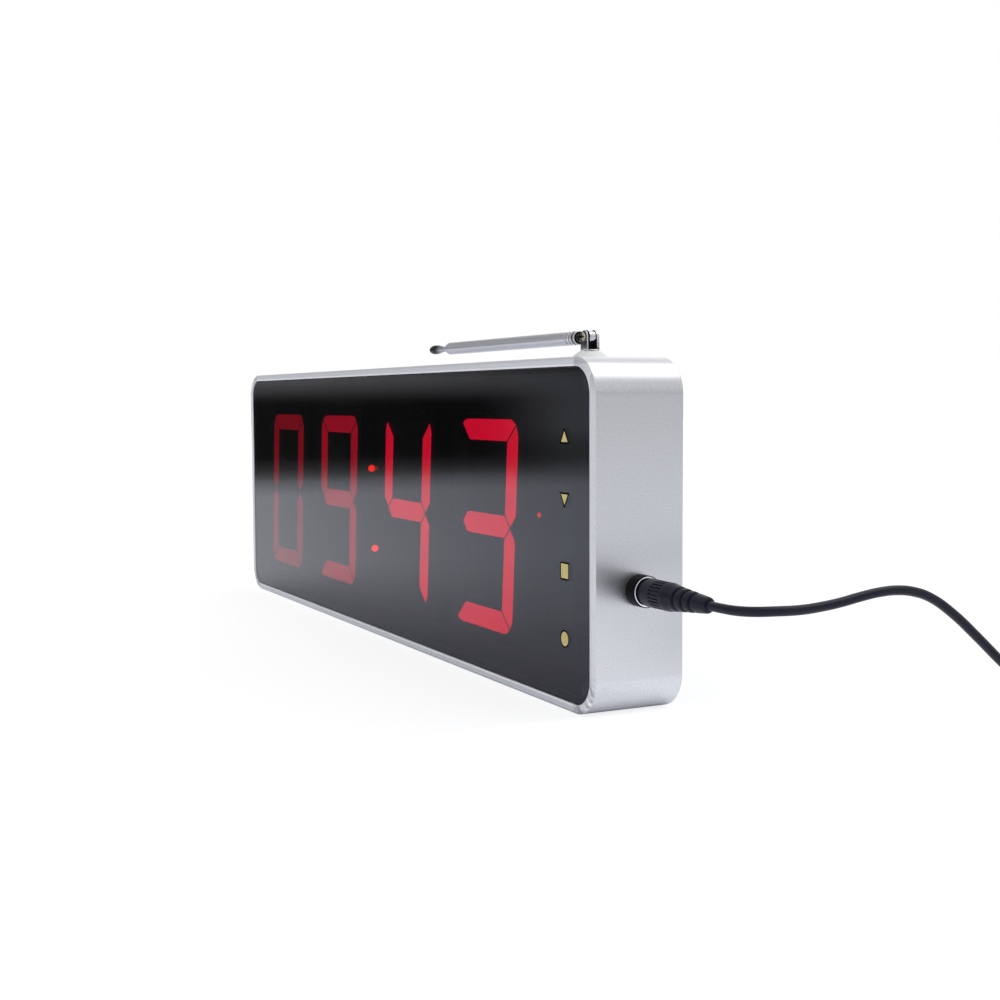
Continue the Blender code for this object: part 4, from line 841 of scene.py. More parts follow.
class LEDCLOCK_OT_case(bpy.types.Operator):
    """Makes the aluminium band, swept round the case, with its bosses and holes"""

    bl_idname = "ledclock.case"
    bl_label = "Case band"

    def execute(self, context):
        settings = context.scene.clock_case
        section = self.section(settings)
        values = {
            "Length": ("Float", settings.length),
            "Height": ("Float", settings.height),
            "Corner radius": ("Float", settings.corner_radius),
            "Corner steps": ("Int", settings.corner_steps),
            "Section": ("Object", section),
            "Boss radius": ("Float", 4.5 * MM),
            "Boss length": ("Float", 31 * MM),
            "Boss span": ("Vector", (2 * SCREW.x, 2 * (SCREW.z - CASE_MIDDLE.z), 0)),
            "Inlet radius": ("Float", 4.2 * MM),
            "Inlet place": ("Vector", JACK),
            "Aerial radius": ("Float", 4.3 * MM),
            "Aerial place": ("Vector", (PIVOT.x, 0, CASE_HIGH.z)),
            "Finish": ("Material", blasted_aluminium(settings)),
        }
        tree, given = node_group("Case band", values)
        mesh = grown(tree, self.band(tree, given), given, values)
        bpy.data.objects.remove(section)
        set_piece("case_band", shaded(mesh, 20), None, ["frame"])
        return {"FINISHED"}

    def section(self, settings):
        """The band's cross-section, as a closed curve of (inset, depth) points."""
        front, back = CASE_LOW.y, CASE_HIGH.y
        rim, wall = settings.rim_width, settings.wall
        ledge = rim + 3.0 * MM
        ledge_front, ledge_back = PANEL_HIGH.y + 1.1 * MM, PANEL_HIGH.y + 2.6 * MM
        outer, rear = 1.0 * MM, 0.6 * MM
        corners = [(0, front + outer), (outer, front), (rim - 0.65 * MM, front), (rim, front + 0.38 * MM)]
        corners += [(rim, ledge_front), (ledge, ledge_front), (ledge, ledge_back), (wall, ledge_back)]
        corners += [(wall, back), (rear, back), (0, back - rear)]
        points = softened(corners, 0.12 * MM, 2, True)
        curve = bpy.data.curves.new("section", "CURVE")
        curve.dimensions = "3D"
        spline = curve.splines.new("POLY")
        spline.points.add(len(points) - 1)
        for made, (inset, depth) in zip(spline.points, points):
            made.co = (-inset, depth, 0, 1)
        spline.use_cyclic_u = True
        return linked("section", curve)

    def band(self, tree, given):
        """Nodes that sweep the section round the outline, drill the band and add its bosses."""
        sides = {"Width": given["Length"], "Height": given["Height"]}
        outline = add(tree, "GeometryNodeCurvePrimitiveQuadrilateral", sides)
        corner = {"Curve": outline, "Count": given["Corner steps"], "Radius": given["Corner radius"]}
        outline = add(tree, "GeometryNodeFilletCurve", corner, mode="POLY")
        section = add(tree, "GeometryNodeObjectInfo", {"Object": given["Section"]}).outputs["Geometry"]
        swept = add(tree, "GeometryNodeCurveToMesh", {"Curve": outline, "Profile Curve": section})
        span_x, span_y, _ = add(tree, "ShaderNodeSeparateXYZ", {"Vector": given["Boss span"]}).outputs
        grid = {"Size X": span_x, "Size Y": span_y, "Vertices X": 2, "Vertices Y": 2}
        corners = add(tree, "GeometryNodeMeshGrid", grid)
        post = {"Vertices": 32, "Radius": given["Boss radius"], "Depth": given["Boss length"]}
        boss = add(tree, "GeometryNodeMeshCylinder", post)
        bosses = add(tree, "GeometryNodeInstanceOnPoints", {"Points": corners, "Instance": boss})
        half = add(tree, "ShaderNodeMath", {0: given["Height"], 1: 0.5}, operation="MULTIPLY")
        lift = add(tree, "ShaderNodeCombineXYZ", {"Z": half})
        upright = {"Translation": lift, "Rotation": (QUARTER, 0, 0)}
        band, posts = (
            add(tree, "GeometryNodeTransform", {"Geometry": flat, **upright}) for flat in (swept, bosses)
        )
        cutters = add(tree, "GeometryNodeJoinGeometry")
        for hole, turn in (("Inlet", QUARTER), ("Aerial", 0)):
            bore = {"Vertices": 40, "Radius": given[hole + " radius"], "Depth": 12 * MM}
            drill = add(tree, "GeometryNodeMeshCylinder", bore)
            place = {"Translation": given[hole + " place"], "Rotation": (0, turn, 0)}
            feed(cutters, {0: add(tree, "GeometryNodeTransform", {"Geometry": drill, **place})})
        both = {"Mesh 1": band, "Mesh 2": cutters}
        drilled = add(tree, "GeometryNodeMeshBoolean", both, operation="DIFFERENCE")
        whole = add(tree, "GeometryNodeJoinGeometry", {0: drilled})
        feed(whole, {0: posts})
        return whole


class LEDCLOCK_OT_panel(bpy.types.Operator):
    """Makes the smoked front panel, and the gold touch keys set in it"""

    bl_idname = "ledclock.front_panel"
    bl_label = "Front panel and keys"

    GAP = 0.35 * MM

    def execute(self, context):
        settings = context.scene.clock_case
        half_x, _, half_z = PANEL_HALF
        radius = settings.corner_radius - (settings.length / 2 - half_x)
        outline = rounded_rectangle(half_x, half_z, radius, settings.corner_steps)
        outline = [(x, z + CASE_MIDDLE.z) for x, z in outline]
        sheet = plate(outline, PANEL_LOW.y, PANEL_HIGH.y, 0.25 * MM)
        holes = []
        gold, edge = plain("brushed gold plate"), plain("painted recess shade")
        for shape in ("up", "down", "square", "round"):
            outline, hole = self.key_outlines(shape)
            holes.append(plate(hole, PANEL_LOW.y - MM, PANEL_HIGH.y + MM))
            key = shaded(plate(outline, PANEL_LOW.y, PANEL_HIGH.y, 0.3 * MM))
            # Each key's sides and rounded edge take painted shade, which draws a dark outline round it.
            coated(key, gold, edge, lambda face: face.normal.y > -0.98)
            set_piece("key_plate_" + shape, key, gold, ["touch_key_" + shape])
        panel = shaded(cut(sheet, holes), 40)
        acrylic = smoked_acrylic(settings)
        # The panel's edges and the walls of its key holes take painted shade.
        coated(panel, acrylic, edge, lambda face: abs(face.normal.y) < 0.9)
        set_piece("panel_sheet", panel, acrylic, ["front_panel"])
        dress(plain("black closed-cell foam"), "panel_tape")
        return {"FINISHED"}

    def key_outlines(self, shape):
        """A key's outline on its place, and the outline of its hole in the panel."""
        _, _, centre, (half_x, _, half_z) = extent("touch_key_" + shape)
        wide, tall = half_x + self.GAP, half_z + self.GAP
        if shape == "round":
            pair = [rounded_rectangle(u, v, u * 0.999, 9) for u, v in ((half_x, half_z), (wide, tall))]
        elif shape == "square":
            key = rounded_rectangle(half_x, half_z, 0.25 * MM, 2)
            pair = [key, rounded_rectangle(wide, tall, 0.5 * MM, 2)]
        else:
            up = 1 if shape == "up" else -1
            points = (half_x, half_z, half_z), (half_x + self.GAP * 1.9, tall, half_z + self.GAP * 2.2)
            pair = [[(-u, -foot * up), (u, -foot * up), (0, peak * up)][::up] for u, foot, peak in points]
        return [[(x + centre.x, z + centre.z) for x, z in outline] for outline in pair]


class LEDCLOCK_OT_rear(bpy.types.Operator):
    """Finishes the rear cover and makes its countersunk screws"""

    bl_idname = "ledclock.rear_cover"
    bl_label = "Rear cover and screws"

    def execute(self, context):
        dress(plain("spark-eroded black ABS"), "rear_cover")
        finish = plain("zinc plated steel")
        head = linked("screw", self.screw())
        values = {
            "Screw": ("Object", head),
            "Across": ("Float", 2 * SCREW.x),
            "Up": ("Float", 2 * (SCREW.z - CASE_MIDDLE.z)),
            "Place": ("Vector", (0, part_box("rear_cover")[1].y, CASE_MIDDLE.z)),
            "Finish": ("Material", finish),
        }
        tree, given = node_group("Cover screws", values)
        grid = {"Size X": given["Across"], "Size Y": given["Up"], "Vertices X": 2, "Vertices Y": 2}
        corners = add(tree, "GeometryNodeMeshGrid", grid)
        upright = {"Translation": given["Place"], "Rotation": (QUARTER, 0, 0)}
        places = add(tree, "GeometryNodeTransform", {"Geometry": corners, **upright})
        screw = add(tree, "GeometryNodeObjectInfo", {"Object": given["Screw"], "As Instance": True})
        on_each = {"Points": places, "Instance": screw.outputs["Geometry"]}
        screws = add(tree, "GeometryNodeInstanceOnPoints", on_each)
        mesh = grown(tree, screws, given, values)
        bpy.data.objects.remove(head)
        set_piece("cover_screws", shaded(mesh), finish, numbered("cover_screw"))
        return {"FINISHED"}

    def screw(self):
        """A countersunk screw with a cross recess, whose head is flush with y = 0."""
        length, shank, head = 10 * MM, 1.45 * MM, 2.7 * MM
        profile = [(-length, 0), (-length, shank), (-1.25 * MM, shank), (-0.1 * MM, head), (0, head), (0, 0)]
        body = turned(softened(profile, 0.12 * MM), "Y", sides=40)
        return cut(body, crossed(0, 0, 0, 3.0 * MM, 0.6 * MM, 0.8 * MM))


class LEDCLOCK_OT_digits(bpy.types.Operator):
    """Makes the segments of the four digits, lit to show the time, in their dark housings"""

    bl_idname = "ledclock.digits"
    bl_label = "Digits"

    # The pair on the left shines more weakly than the pair on the right, as painted shade for the dimmer glow
    # seen at a slant
    LEVELS = (0.32, 0.5, 1.0, 1.0)
    # Lit segments of the digits 0 to 9, in the order of segment_outlines
    LIT = ("012345", "12", "01346", "01236", "1256", "02356", "023456", "012", "0123456", "012356")

    def execute(self, context):
        settings = context.scene.clock_display
        if len(settings.shown) != 4 or not settings.shown.isdigit():
            raise RuntimeError("the shown time is four digits")
        dull = plain("unlit red diffusing acrylic")
        outlines = self.segment_outlines(settings)
        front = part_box("digit_housing_1")[0].y
        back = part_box("digit_light_guide_1")[1].y
        for number, (digit, node) in enumerate(zip(settings.shown, numbered("digit_light_guide")), 1):
            low, high, centre, _ = extent(node)
            slab = block((low.x, back - 2 * MM, low.z), (high.x, back, high.z), 0.2 * MM)
            meshes = {False: [slab], True: []}
            for index, outline in enumerate(outlines):
                placed = [(x + centre.x, z + centre.z) for x, z in outline]
                bar = plate(placed, front, back - 1 * MM, 0.12 * MM)
                meshes[str(index) in self.LIT[int(digit)]].append(bar)
            dark, bright = (shaded(joined(meshes[lit])) for lit in (False, True))
            set_piece(f"digit_{number}_unlit", dark, dull, [node])
            glow = lit_guide(settings, self.LEVELS[number - 1])
            set_piece(f"digit_{number}_lit", bright, glow)
        dress(plain("eroded dark ABS"), *numbered("digit_housing"))
        return {"FINISHED"}

    def segment_outlines(self, settings):
        """The seven segments of one digit about its middle: top, upper right, lower right, bottom, lower
        left, upper left, middle. Their ends are mitred, and the digit's outer corners are round."""
        half_w, half_h = settings.width / 2, settings.height / 2
        post, bar, corner = 9.3 * MM, 8.5 * MM, 6.5 * MM
        slip = 0.9 * MM / math.sqrt(2)
        arc = [math.radians(45 * k / 5) for k in range(6)]
        centre, inner = half_w - post / 2, half_w - post
        hub_x, hub_z = half_w - corner, half_h - corner
        right = [(inner - slip, half_h - bar)]
        for a in reversed(arc):
            right.append((hub_x + corner * math.sin(a) - slip * (a > 0), hub_z + corner * math.cos(a)))
        top = right + [(-x, z) for x, z in reversed(right)]
        upper = [(centre, slip), (half_w, slip + post / 2)]
        for a in arc:
            upper.append((hub_x + corner * math.cos(a), hub_z + corner * math.sin(a) - slip * (a > 0)))
        upper += [(inner, half_h - bar - slip), (inner, slip + post / 2)]
        end, shoulder = centre - slip, centre - slip - bar / 2
        middle_bar = [(end, 0), (shoulder, bar / 2), (-shoulder, bar / 2)]
        middle_bar += [(-x, -z) for x, z in middle_bar]
        turns = ((top, 1, 1), (upper, 1, 1), (upper, 1, -1), (top, 1, -1), (upper, -1, -1), (upper, -1, 1))
        upright = [[(sx * x, sz * z) for x, z in points] for points, sx, sz in turns] + [middle_bar]
        return [[(x + settings.slant * z, z) for x, z in points] for points in upright]


class LEDCLOCK_OT_lamps(bpy.types.Operator):
    """Makes the colon's two lamps and the small signal lamp"""

    bl_idname = "ledclock.lamps"
    bl_label = "Lamps"

    def execute(self, context):
        settings = context.scene.clock_display
        colon = lit_lamp(settings, 1.8, (0.0, 0.3))
        signal = lit_lamp(settings, 1.2, (0.5, 0.95))
        finishes = {"colon_lamp_upper": colon, "colon_lamp_lower": colon, "signal_lamp": signal}
        arc = [math.pi * (k / 20 - 0.35) for k in range(17)]
        for node, finish in finishes.items():
            low, high, centre, (flange, _, _) = extent(node)
            front, back, radius = low.y, high.y, flange * 0.58
            profile = [(back, 0), (back, flange), (back - 0.9 * MM, flange), (back - 1.0 * MM, flange * 0.5)]
            profile += [(front + radius * (1 - math.sin(a)), radius * math.cos(a)) for a in arc]
            profile.append((front, 0))
            mesh = shaded(turned(profile, "Y", (centre.x, 0, centre.z), 32))
            marked(mesh, "crown", lambda place: max(0.0, 1 - (place.y - front) / (2 * radius)))
            set_piece(node + "_dome", mesh, finish, [node])
        return {"FINISHED"}


class LEDCLOCK_OT_electronics(bpy.types.Operator):
    """Finishes the boards and the parts on them, behind the display"""

    bl_idname = "ledclock.electronics"
    bl_label = "Electronics"

    def execute(self, context):
        dress(plain("solder masked glass epoxy"), "display_board", "touch_board")
        dress(plain("moulded black epoxy"), "control_chip", "buzzer")
        dress(plain("zinc plated steel"), "radio_module", "backup_cell", *numbered("board_standoff"))
        dress(plain("satin black ABS"), "backup_cell_holder")
        return {"FINISHED"}


class LEDCLOCK_OT_aerial(bpy.types.Operator):
    """Makes the aerial: its white dome, fork, hinge screw, knuckle, sliding sections and tip"""

    bl_idname = "ledclock.aerial"
    bl_label = "Aerial"

    # Places of the grooves from the tube's start, and how far each tube's mouth tapers
    GROOVES = (1.6 * MM, 4.4 * MM, 7.2 * MM)
    MOUTHS = (1.9 * MM, 1.6 * MM, 1.4 * MM)
    # How much each tube starts earlier and ends earlier than its CAD solid
    EARLIER = ((2.4 * MM, 2.2 * MM), (0, 1.0 * MM), (0, 0), (0, 0))

    def execute(self, context):
        fitting = plain("bright chrome on turned brass")
        self.make_dome()
        self.make_fork(fitting)
        dress(fitting, "aerial_nut")
        self.make_screw()
        dark = black_chrome()
        knuckle = smooth_copy("aerial_knuckle")
        marked(knuckle, "bulb", lambda place: float(PIVOT.x - place.x > 3.2 * MM))
        set_piece("aerial_knuckle_arm", knuckle, dark, ["aerial_knuckle"], "aerial_arm")
        self.make_tubes(context.scene.clock_aerial)
        self.make_tip(dark)
        return {"FINISHED"}

    def make_dome(self):
        low, high, _, (radius, _, _) = extent("aerial_grommet")
        foot, top = CASE_HIGH.z + 0.05 * MM, high.z - 0.6 * MM
        bore, neck = 2.3 * MM, 4.0 * MM
        dome = [(low.z, bore), (low.z, neck), (foot, neck), (foot, radius * 1.12)]
        for share, reach in ((0.1, 1.11), (0.3, 1.02), (0.55, 0.9), (0.8, 0.77), (0.95, 0.68), (1.0, 0.62)):
            dome.append((foot + (top - foot) * share, radius * reach))
        dome = softened([*dome, (top, bore)], 0.4 * MM, 4, True)
        grommet = shaded(turned(dome, "Z", (PIVOT.x, 0, 0), 64))
        set_piece("aerial_dome", grommet, plain("moulded white ABS"), ["aerial_grommet"])

    def make_fork(self, fitting):
        """A turned stem with a flange, and two ears on it whose inner sides are painted dark as painted shade.
        """
        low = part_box("aerial_fork")[0]
        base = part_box("aerial_grommet")[1].z - 0.3 * MM
        stem, flange = 2.0 * MM, 3.7 * MM
        profile = [(low.z, 0), (low.z, stem), (base, stem), (base, flange), (base + 0.2 * MM, flange)]
        profile += [(base + 0.4 * MM, 3.4 * MM), (base + 0.4 * MM, 0)]
        meshes = [turned(softened(profile, 0.1 * MM), "Z", (PIVOT.x, 0, 0), 48)]
        foot, reach = 2.75 * MM, 2.6 * MM
        arc = [math.pi * k / 20 for k in range(21)]
        ear = [(reach * math.cos(a) + PIVOT.x, reach * math.sin(a) + PIVOT.z) for a in arc]
        ear = [(PIVOT.x + foot, base + 0.2 * MM), *ear, (PIVOT.x - foot, base + 0.2 * MM)]
        for side, edge in ((-1, 0.4 * MM), (1, 0.25 * MM)):
            meshes.append(plate(ear, side * 2.7 * MM, side * 1.5 * MM, edge))
        fork = shaded(joined(meshes))

        # Faces on the inner sides of the ears, which take painted shade.
        def in_slot(face):
            return -1.95 * MM < face.center.y < 1.55 * MM and face.center.z > base + 0.5 * MM

        coated(fork, fitting, plain("painted recess shade"), in_slot)
        set_piece("aerial_yoke", fork, fitting, ["aerial_fork"], "aerial_base")

    def make_screw(self):
        """The hinge screw: a low domed head with a cross in it painted dark as painted shade, and a plain
        shank.
        """
        low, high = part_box("aerial_hinge_screw")
        head, crest, shank = low.y + 1.1 * MM, low.y + 0.2 * MM, 1.0 * MM
        profile = [(crest, 0), (crest, 0.7 * MM), (crest + 0.15 * MM, 1.15 * MM)]
        profile += [(crest + 0.4 * MM, 1.5 * MM), (head, 1.7 * MM), (head, shank)]
        profile += [(high.y - 0.15 * MM, shank), (high.y, 0.85 * MM), (high.y, 0)]
        screw = turned(profile, "Y", (PIVOT.x, 0, PIVOT.z), 40)
        recess = crossed(PIVOT.x, PIVOT.z, crest, 2.9 * MM, 0.8 * MM, 0.6 * MM)
        screw = shaded(cut(screw, recess))

        # Faces of the cross recess, which take painted shade.
        def in_recess(face):
            away = math.hypot(face.center.x - PIVOT.x, face.center.z - PIVOT.z)
            sunk = crest + 0.02 * MM < face.center.y < head - 0.01 * MM
            upright = max(abs(face.normal.x), abs(face.normal.z)) > 0.999 or face.normal.y < -0.999
            return sunk and upright and away < 1.5 * MM

        brass = plain("worn nickel on brass")
        coated(screw, brass, plain("painted recess shade"), in_recess)
        set_piece("aerial_cross_screw", screw, brass, ["aerial_hinge_screw"], "aerial_base")

    def make_tubes(self, settings):
        chrome = plain("bright chrome on drawn brass")
        bodies = ("aerial_arm", "aerial_stage_2", "aerial_stage_3", "aerial_stage_4")
        for number, (node, body) in enumerate(zip(numbered("aerial_section"), bodies), 1):
            low, high, _, (_, _, radius) = extent(node)
            sooner, shorter = self.EARLIER[number - 1]
            start, end = PIVOT.x - high.x - sooner, PIVOT.x - low.x - shorter
            if number == 4:
                profile = [(start, 0), (start, radius), (end, radius), (end, 0)]
            else:
                profile = self.tube(settings, number, start, end, radius)
            mesh = shaded(turned([(-s, r) for s, r in profile], "X", PIVOT, 48), 40)

            # Faces in the outer tube's grooves, which take painted shade.
            def in_groove(face):
                along = PIVOT.x - face.center.x - start
                return number == 1 and any(abs(along - place) < 0.3 * MM for place in self.GROOVES)

            coated(mesh, chrome, plain("painted recess shade"), in_groove)
            set_piece(f"aerial_tube_{number}", mesh, chrome, [node], body)

    def tube(self, settings, number, start, end, radius):
        """A tube's (along, radius) ring: grooves beside the knuckle on the outer one, and a tapered mouth."""
        wall, edge, taper = 0.3 * MM, 0.12 * MM, 0.5 * MM
        ring = [(start, radius - wall), (start, radius - edge), (start + edge, radius)]
        for along in self.GROOVES if number == 1 else ():
            for k in range(-4, 5):
                drop = settings.groove * (0.5 + 0.5 * math.cos(math.pi * k / 4))
                ring.append((start + along + 0.16 * MM * k, radius - drop))
        mouth = end - self.MOUTHS[number - 1]
        ring += [(mouth, radius), (end, radius - taper), (end, radius - taper - 0.02 * MM)]
        return [*ring, (mouth, radius - wall)]

    def make_tip(self, dark):
        """The tip: a thin neck that widens to a bulb with a round end."""
        low, high, _, (_, _, radius) = extent("aerial_tip")
        start, end = PIVOT.x - high.x, PIVOT.x - low.x
        inside, neck = start + 5 * MM, start - 3.0 * MM
        belly, thin = neck + 10.5 * MM, 1.07 * MM
        tip = [(inside, 0), (inside, thin), (neck, thin), (neck, 1.2 * MM)]
        for share, reach in ((0.2, 0.61), (0.4, 0.72), (0.6, 0.84), (0.8, 0.95)):
            tip.append((neck + 9.5 * MM * share, radius * reach))
        for k in range(12):
            angle = QUARTER * k / 12
            tip.append((belly + (end - belly) * math.sin(angle), radius * math.cos(angle)))
        tip.append((end, 0))
        mesh = shaded(turned([(-s, r) for s, r in tip], "X", PIVOT, 40), 60)
        darkens = PIVOT.x - neck - 3 * MM
        marked(mesh, "bulb", lambda place: min(max((darkens - place.x) / (4 * MM), 0.0), 1.0))
        set_piece("aerial_bulb", mesh, dark, ["aerial_tip"], "aerial_stage_4")


class LEDCLOCK_OT_inlet(bpy.types.Operator):
    """Makes the panel jack with its bright ring, and finishes its nut and pin"""

    bl_idname = "ledclock.inlet"
    bl_label = "Power inlet"

    def execute(self, context):
        axis = (0, 0, JACK.z)
        low, high, _, (_, _, radius) = extent("dc_jack")
        back, front = CASE_HIGH.x, high.x
        seat, floor, end = front - 1.3 * MM, front - 4.3 * MM, low.x + 4 * MM
        mouth, socket, bore, hole, neck = 5.55 * MM, 4.4 * MM, 3.1 * MM, 1.2 * MM, 3.9 * MM
        body = [(back, radius), (front, radius), (front, mouth), (seat, mouth), (seat, socket)]
        body += [(floor, socket), (floor, bore), (end, bore), (end, hole), (low.x, hole)]
        body += [(low.x, neck), (back, neck)]
        jack = shaded(turned(softened(body, 0.3 * MM, 3, True), "X", axis, 56))
        set_piece("jack_barrel", jack, plain("satin black ABS"), ["dc_jack"])

        # The ring is a little wider than its CAD solid
        low, _, _, (_, _, radius) = extent("dc_jack_ring")
        outer = radius + 0.3 * MM
        inner, proud = outer - 1.5 * MM, front + 0.35 * MM
        lip = [(low.x, inner), (low.x, outer), (proud, outer), (proud, inner)]
        ring = turned(softened(lip, 0.3 * MM, 4, True), "X", axis, 64)
        chrome = plain("bright chrome on turned brass")
        set_piece("jack_bright_ring", shaded(ring, 60), chrome, ["dc_jack_ring"])
        dress(chrome, "dc_jack_nut", "dc_jack_pin")
        return {"FINISHED"}


class LEDCLOCK_OT_lead(bpy.types.Operator):
    """Makes the moulded plug, the power cord with its tied coil, and the plug on its far end"""

    bl_idname = "ledclock.lead"
    bl_label = "Power lead"

    # Bend out of the plug as x, y and z in millimetres, then y and z of the free stretch at one x
    BEND = ((7.0, 0.0, 46.0), (14.0, 0.7, 46.1), (19.5, 3.7, 46.3), (22.4, 10.0, 46.4))
    STRETCH_X = 23.2
    STRETCH = (
        (19.0, 46.3), (28.0, 46.8), (36.0, 47.7), (44.0, 49.0), (52.5, 50.0),
        (60.0, 50.1), (67.0, 49.1), (74.0, 46.8), (84.0, 40.8), (96.0, 31.4),
        (108.0, 21.4), (120.0, 12.4), (132.0, 6.2), (144.0, 3.2), (153.0, 2.6),
    )
    # Far plug from the cord's end, in millimetres: place along it, half width, half height, corner radius
    FAR_LENGTH = 38
    FAR_SECTIONS = (
        (0.0, 2.2, 2.2, 2.15), (0.25, 2.5, 2.5, 2.45), (4.0, 2.85, 2.75, 2.7), (8.0, 3.3, 3.05, 2.9),
        (9.6, 4.0, 3.3, 2.9), (10.6, 5.2, 3.5, 2.6), (11.6, 6.6, 3.75, 2.3), (13.0, 7.45, 3.95, 2.1),
        (14.5, 7.7, 4.0, 2.0), (24.0, 7.7, 4.0, 2.0), (36.4, 7.7, 4.0, 2.0), (37.4, 7.55, 3.85, 2.0),
        (38.0, 7.2, 3.5, 1.9),
    )

    def execute(self, context):
        settings = context.scene.clock_lead
        pvc = plain("soft black PVC")
        plug = self.make_plug(settings, pvc)
        far = self.make_far_plug(pvc)
        tie = self.make_tie()
        dress(plain("bright chrome on turned brass"), "dc_plug_sleeve")
        cord = self.make_cord(settings, pvc)
        return {"FINISHED"}

    def make_plug(self, settings, pvc):
        """The moulded plug: a turned body whose grip is a core with ribs between its slots."""
        nose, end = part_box("dc_plug")[0].x, PLUG_END
        grip, radius = nose + 3.8 * MM, 5.1 * MM
        collar, taper, relief = grip + 1.6 * MM, grip + 15.5 * MM, grip + 18.9 * MM
        first, last = grip + 7.6 * MM, grip + 14.2 * MM
        core, bore, barrel, step = radius - 0.5 * MM, 3.05 * MM, 3.9 * MM, 0.05 * MM
        wide, thin = 4.55 * MM, 2.8 * MM
        socket = nose + 3.3 * MM
        profile = [(socket, 0), (socket, bore), (nose, bore), (nose, barrel), (collar, barrel)]
        profile += [(collar, radius - 0.4 * MM), (collar + 0.3 * MM, radius), (first, radius)]
        profile += [(first + step, core), (last - step, core), (last, radius)]
        profile += [(taper, radius), (relief, wide)]
        fall = (wide - thin) / (end - relief)
        ring = ((-0.5, 0), (0, 0.1), (0.25, 1.1), (0.9, 1.4), (1.55, 1.1), (1.8, 0.1), (2.3, 0))
        for k in range(3):
            for along, drop in ring:
                place = (1.9 + 4.4 * k + along) * MM
                profile.append((relief + place, wide - fall * place - drop * MM))
        profile += [(end - 0.9 * MM, 2.85 * MM), (end - 0.25 * MM, 2.55 * MM), (end, 2.0 * MM), (end, 0)]
        body = turned(softened(profile, 0.18 * MM), "X", (0, 0, JACK.z), 56)
        holder = linked("plug body", shaded(body))
        gap = 0.62 * MM
        width = math.tau * radius / settings.grip_slots - gap
        values = {
            "Body": ("Object", holder),
            "Ribs": ("Int", settings.grip_slots),
            "Core radius": ("Float", core - 0.1 * MM),
            "Rib size": ("Vector", (2 * (radius - core) + 0.12 * MM, width, last - first)),
            "Place": ("Vector", ((first + last) / 2, 0, JACK.z)),
            "Finish": ("Material", pvc),
        }
        tree, given = node_group("Plug grip", values)
        circle = {"Vertices": given["Ribs"], "Radius": given["Core radius"]}
        ring = add(tree, "GeometryNodeMeshCircle", circle)
        outwards = {"Vector": add(tree, "GeometryNodeInputPosition")}
        aim = add(tree, "FunctionNodeAlignRotationToVector", outwards, axis="X")
        cube = {"Size": given["Rib size"], "Vertices X": 2, "Vertices Y": 2, "Vertices Z": 2}
        bar = add(tree, "GeometryNodeMeshCube", cube)
        on_each = {"Points": ring, "Instance": bar, "Rotation": aim}
        ribs = add(tree, "GeometryNodeInstanceOnPoints", on_each)
        along = {"Translation": given["Place"], "Rotation": (0, QUARTER, 0)}
        laid = add(tree, "GeometryNodeTransform", {"Geometry": ribs, **along})
        whole = add(tree, "GeometryNodeJoinGeometry", {0: laid})
        feed(whole, {0: add(tree, "GeometryNodeObjectInfo", {"Object": given["Body"]}).outputs["Geometry"]})
        mesh = grown(tree, whole, given, values)
        bpy.data.objects.remove(holder)
        return set_piece("moulded_plug", shaded(mesh, 38), pvc, ["dc_plug"])

    def coil(self, diameter):
        """The coil's points: in along the lower layer, up in a half turn, and out along the upper layer."""
        pitch = diameter + 0.5 * MM
        turns, per_turn, mean = 3.5, 24, 20 * MM
        outer, inner = mean + pitch * turns / 2, mean - pitch * turns / 2
        start = Vector((PLUG_END + 23.5 * MM, 156.7 * MM, 2.6 * MM))
        centre = start + Vector((outer, 0, 0))
        total = 2 * turns + 0.5
        count = round(total * per_turn)
        points = []
        for k in range(count + 1):
            turn = total * k / count
            half = min(max((turn - turns) / 0.5, 0.0), 1.0)
            if turn <= turns + 0.25:
                radius = outer - pitch * turn
            else:
                radius = inner + pitch * (turn - turns - 0.5)
            rise = pitch * half * half * (3 - 2 * half)
            angle = math.pi - math.tau * turn
            points.append(centre + Vector((radius * math.cos(angle), radius * math.sin(angle), rise)))
        return points

    def make_cord(self, settings, pvc):
        """One smooth curve: out of the plug, down to the surface, round the coil and into the far plug."""
        first = Vector((PLUG_END + 0.3 * MM, 0, 0))
        points = [Vector((PLUG_END - 4 * MM, 0, JACK.z))]
        route = [*self.BEND, *((self.STRETCH_X, *place) for place in self.STRETCH)]
        points += [first + Vector(place) * MM for place in route]
        points += self.coil(settings.diameter)
        last = points[-1]
        lying = 4.0 * MM
        for share in (0.2, 0.4, 0.6, 0.8, 1.0):
            fall = (last.z - lying) * share * share * (3 - 2 * share)
            points.append(last + Vector((0, -22 * MM * share, -fall)))
        points.append(Vector((last.x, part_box("far_plug_body")[1].y - 3 * MM, lying)))
        curve = bpy.data.curves.new("power_flex", "CURVE")
        curve.dimensions = "3D"
        curve.bevel_depth = settings.diameter / 2
        curve.bevel_resolution = 4
        curve.resolution_u = 4
        curve.use_fill_caps = True
        spline = curve.splines.new("BEZIER")
        spline.bezier_points.add(len(points) - 1)
        for made, place in zip(spline.bezier_points, points):
            made.co = place
            made.handle_left_type = made.handle_right_type = "AUTO"
        curve.materials.append(pvc)
        cord = linked("power_flex", curve)
        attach(cord, CLOCK)
        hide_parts("power_cord", "power_cord_coil")
        return cord

